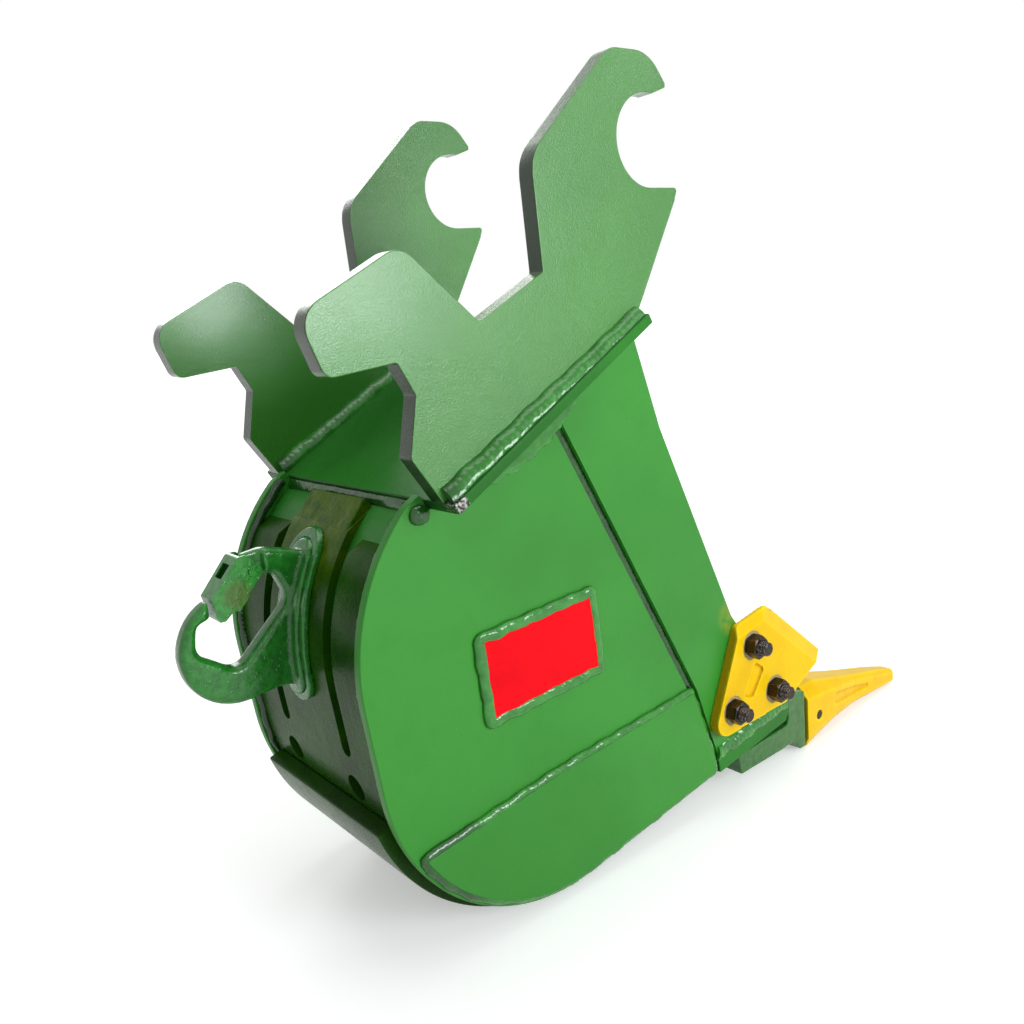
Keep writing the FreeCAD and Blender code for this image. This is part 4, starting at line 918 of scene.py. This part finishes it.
def nut_shape(tall):
    """Hexagon whose corners are turned off at both ends, dished round the thread."""
    def radius_at(a, y, r):
        return min(hex_radius(a), CORNER_R + min(y, tall - y) * CORNER_SLOPE, r)
    levels = [0.0] + CORNER_STEPS + [tall / 2] + [tall - y for y in reversed(CORNER_STEPS)] + [tall]
    rows = [(y, NO_LIMIT) for y in levels] + [(tall, 9.2 * MM), (tall - 0.9 * MM, 8.3 * MM)]
    return turned("nut", rows, 72, radius_at)


def thread_shape(start, end):
    """Bolt end with a rolled thread and a chamfered point."""
    def radius_at(a, y, r):
        turn = (y / THREAD_PITCH - a / (2 * math.pi)) % 1.0
        return r - THREAD_DEPTH * abs(2 * turn - 1) if r == THREAD_R else r
    rows_per_turn = 8
    count = int((end - start) / THREAD_PITCH * rows_per_turn)
    rows = [(start + (end - start) * i / count, THREAD_R) for i in range(count + 1)]
    rows += [(end + 0.1 * MM, THREAD_R - 1.1 * MM), (end + 0.7 * MM, THREAD_R - 1.9 * MM)]
    return turned("thread", rows, 48, radius_at)


def head_shape():
    """Bolt head inside the body, turned off at its outer end, with the plain shank behind it."""
    tall, shank = 10.0 * MM, 36.0 * MM

    def radius_at(a, y, r):
        return min(hex_radius(a), CORNER_R + y * CORNER_SLOPE, r)
    rows = [(0.0, NUT_AF * 0.4)] + [(y, NO_LIMIT) for y in [0.0] + CORNER_STEPS + [tall]]
    return turned("head", rows + [(tall, SHANK_R), (tall + shank, SHANK_R)], 72, radius_at)


def bolt_set(shape, name, y, mirror, stands_for=()):
    """Copies of one turned piece at the three bolt points of a side."""
    for v in shape.data.vertices:
        v.co.y = (v.co.y + y) * (-1 if mirror else 1)
    if mirror:
        shape.data.flip_normals()
    points = bpy.data.meshes.new("points")
    points.from_pydata([tuple(p) for p in BOLT_POINTS], [], [])
    holder = link("points", points)
    grow(holder, COPIES, {"Piece": shape, "Material": BOLT})
    piece = applied(holder, name)
    bpy.data.objects.remove(shape)
    return settle(piece, BOLT, stands_for=stands_for)


def bolts():
    """Nuts, threads and heads of both side cutters."""
    for side in SIDES:
        mirror = SIDES[side] < 0
        nuts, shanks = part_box("cutter_nuts_" + side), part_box("cutter_bolts_" + side)
        seat, top = sorted(abs(corner[1]) for corner in nuts)
        inner, reach = sorted(abs(corner[1]) for corner in shanks)
        bolt_set(nut_shape(top - seat), "nuts_" + side, seat, mirror, ("cutter_nuts_" + side,))
        bolt_set(thread_shape(seat, reach - 0.8 * MM), "threads_" + side, 0.0, mirror)
        bolt_set(head_shape(), "heads_" + side, inner, mirror, ("cutter_bolts_" + side,))


def latch_point(x, y, z):
    """Where a point of the latch lies at rest, given in millimetres along +X from its pivot."""
    c, s = math.cos(LATCH_ANGLE), math.sin(LATCH_ANGLE)
    return LATCH_PIVOT + Vector((x * c - z * s, y, x * s + z * c)) * MM


def spring():
    """Double torsion spring: coils round the pin on both sides of the lug, and a loop on the latch's web."""
    coil, start, step, turns, reach, corners = 3.95, 6.3, 1.65, 2.4, 16.6, 28
    half = []
    for i in range(int(turns * corners), -1, -1):
        a = 2 * math.pi * i / corners
        half.append((coil * math.cos(a), start + step * i / corners, coil * math.sin(a)))
    half += [(coil, start, -z) for z in (1.0, 6.0, 11.0, reach - 1.2)]
    half += [(coil, start - 0.4, -reach + 0.3), (coil, start - 1.2, -reach), (coil, 0.0, -reach)]
    points = [latch_point(*p) for p in half] + [latch_point(x, -y, z) for x, y, z in reversed(half[:-1])]
    path = path_object(points)
    grow(path, WIRE, {"Wire radius": 0.65 * MM, "Material": STEEL})
    settle(applied(path, "spring"), STEEL, "latch", ("latch_spring",))


def bare_solids():
    """Finishes of the frame's own solids that stay in sight."""
    # Painted shade: the side seams take the darker copy of the weld paint.
    for finish, names in {SHADED_WELD: ["side_seam_right", "side_seam_left"], BOLT: ["tooth_pins"]}.items():
        for name in names:
            for slot in frame["nodes"][name].material_slots:
                slot.material = finish


plates()
castings()
ear_beads()
plate_beads()
body_beads()
ball_welds()
bolts()
spring()
bare_solids()


# Camera, light and floor
def camera():
    """The camera of the photograph."""
    data = bpy.data.cameras.new("camera")
    data.lens = CAMERA_LENS
    data.sensor_width = 36.0
    data.sensor_fit = "HORIZONTAL"
    data.clip_start = 0.01
    made = link("camera", data)
    turn = Matrix((CAMERA_RIGHT, -CAMERA_DOWN, -CAMERA_AHEAD)).transposed().to_4x4()
    made.matrix_world = Matrix.Translation(CAMERA_PLACE) @ turn
    bpy.context.scene.camera = made


def area_light(name, place, target, size, level, tint=(1.0, 1.0, 1.0)):
    """Soft lamp whose face shows the given level of light."""
    data = bpy.data.lights.new(name, "AREA")
    data.color = tint
    data.shape = "RECTANGLE"
    data.size, data.size_y = size
    data.energy = level * math.pi * size[0] * size[1]
    made = link(name, data)
    made.location = place
    made.rotation_euler = (Vector(target) - Vector(place)).to_track_quat("-Z", "Y").to_euler()


def seen_plainly(tree):
    """1 for what the camera, a reflection or glass looks at, 0 for light that falls on the object."""
    path = tree.nodes.new("ShaderNodeLightPath")
    seen = path.outputs["Is Camera Ray"]
    for ray in ("Is Glossy Ray", "Is Transmission Ray"):
        either = tree.nodes.new("ShaderNodeMath")
        either.operation = "MAXIMUM"
        tree.links.new(seen, either.inputs[0])
        tree.links.new(path.outputs[ray], either.inputs[1])
        seen = either.outputs[0]
    return seen


def world():
    """White to look at, and weaker where its light falls on the object."""
    made = bpy.data.worlds.new("room")
    made.use_nodes = True
    bpy.context.scene.world = made
    tree = made.node_tree
    level = tree.nodes.new("ShaderNodeMapRange")
    level.inputs["To Min"].default_value = WORLD_LIGHT
    level.inputs["To Max"].default_value = 1.0
    tree.links.new(seen_plainly(tree), level.inputs["Value"])
    tree.nodes["Background"].inputs["Color"].default_value = (1, 1, 1, 1)
    tree.links.new(level.outputs[0], tree.nodes["Background"].inputs["Strength"])


def ground():
    """Pale floor under the bucket, which keeps the shadow and brightens away from it."""
    z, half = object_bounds()[0][2], FLOOR_HALF
    mesh = bpy.data.meshes.new("floor")
    mesh.from_pydata([(-half, -half, z), (half, -half, z), (half, half, z), (-half, half, z)], [],
                     [(0, 1, 2, 3)])
    floor = link("floor", mesh)
    m = Recipe("pale_floor")
    glow = m.mix(m.near((-0.1, 0, z), 3.0), PALE, NEAR_GLOW)
    glow = m.mix(Value(m, seen_plainly(m.tree)), DARK, glow)
    mesh.materials.append(m.finish(Base_Color=PALE, Roughness=0.7, Emission_Color=glow, Emission_Strength=1.0))


def lamps():
    """Windows and lamps of the hall that show in the paint."""
    area_light("window", (0.45, -2.07, 0.16), (-0.35, -0.16, -0.08), (0.85, 0.7), 17.0, (0.92, 0.97, 1.0))
    area_light("high_window", (1.3, -2.2, 2.0), (0.0, 0.0, -0.3), (1.4, 1.4), 1.6)
    area_light("hall_lamp", (-1.5, -1.9, 1.3), (-0.1, 0.0, -0.4), (0.28, 0.28), 11.0)
    area_light("small_window", (2.3, -2.07, 0.85), (0.0, 0.0, 0.0), (0.4, 0.4), 4.0)
    area_light("top", (0.1, 0.1, 2.2), (-0.1, 0.0, -0.3), (1.8, 1.8), 2.2)
    area_light("far_side", (0.7, 2.6, 0.9), (0.0, 0.0, -0.3), (1.6, 1.4), 4.0)


camera()
world()
ground()
lamps()
bpy.context.scene.view_settings.view_transform = "Standard"
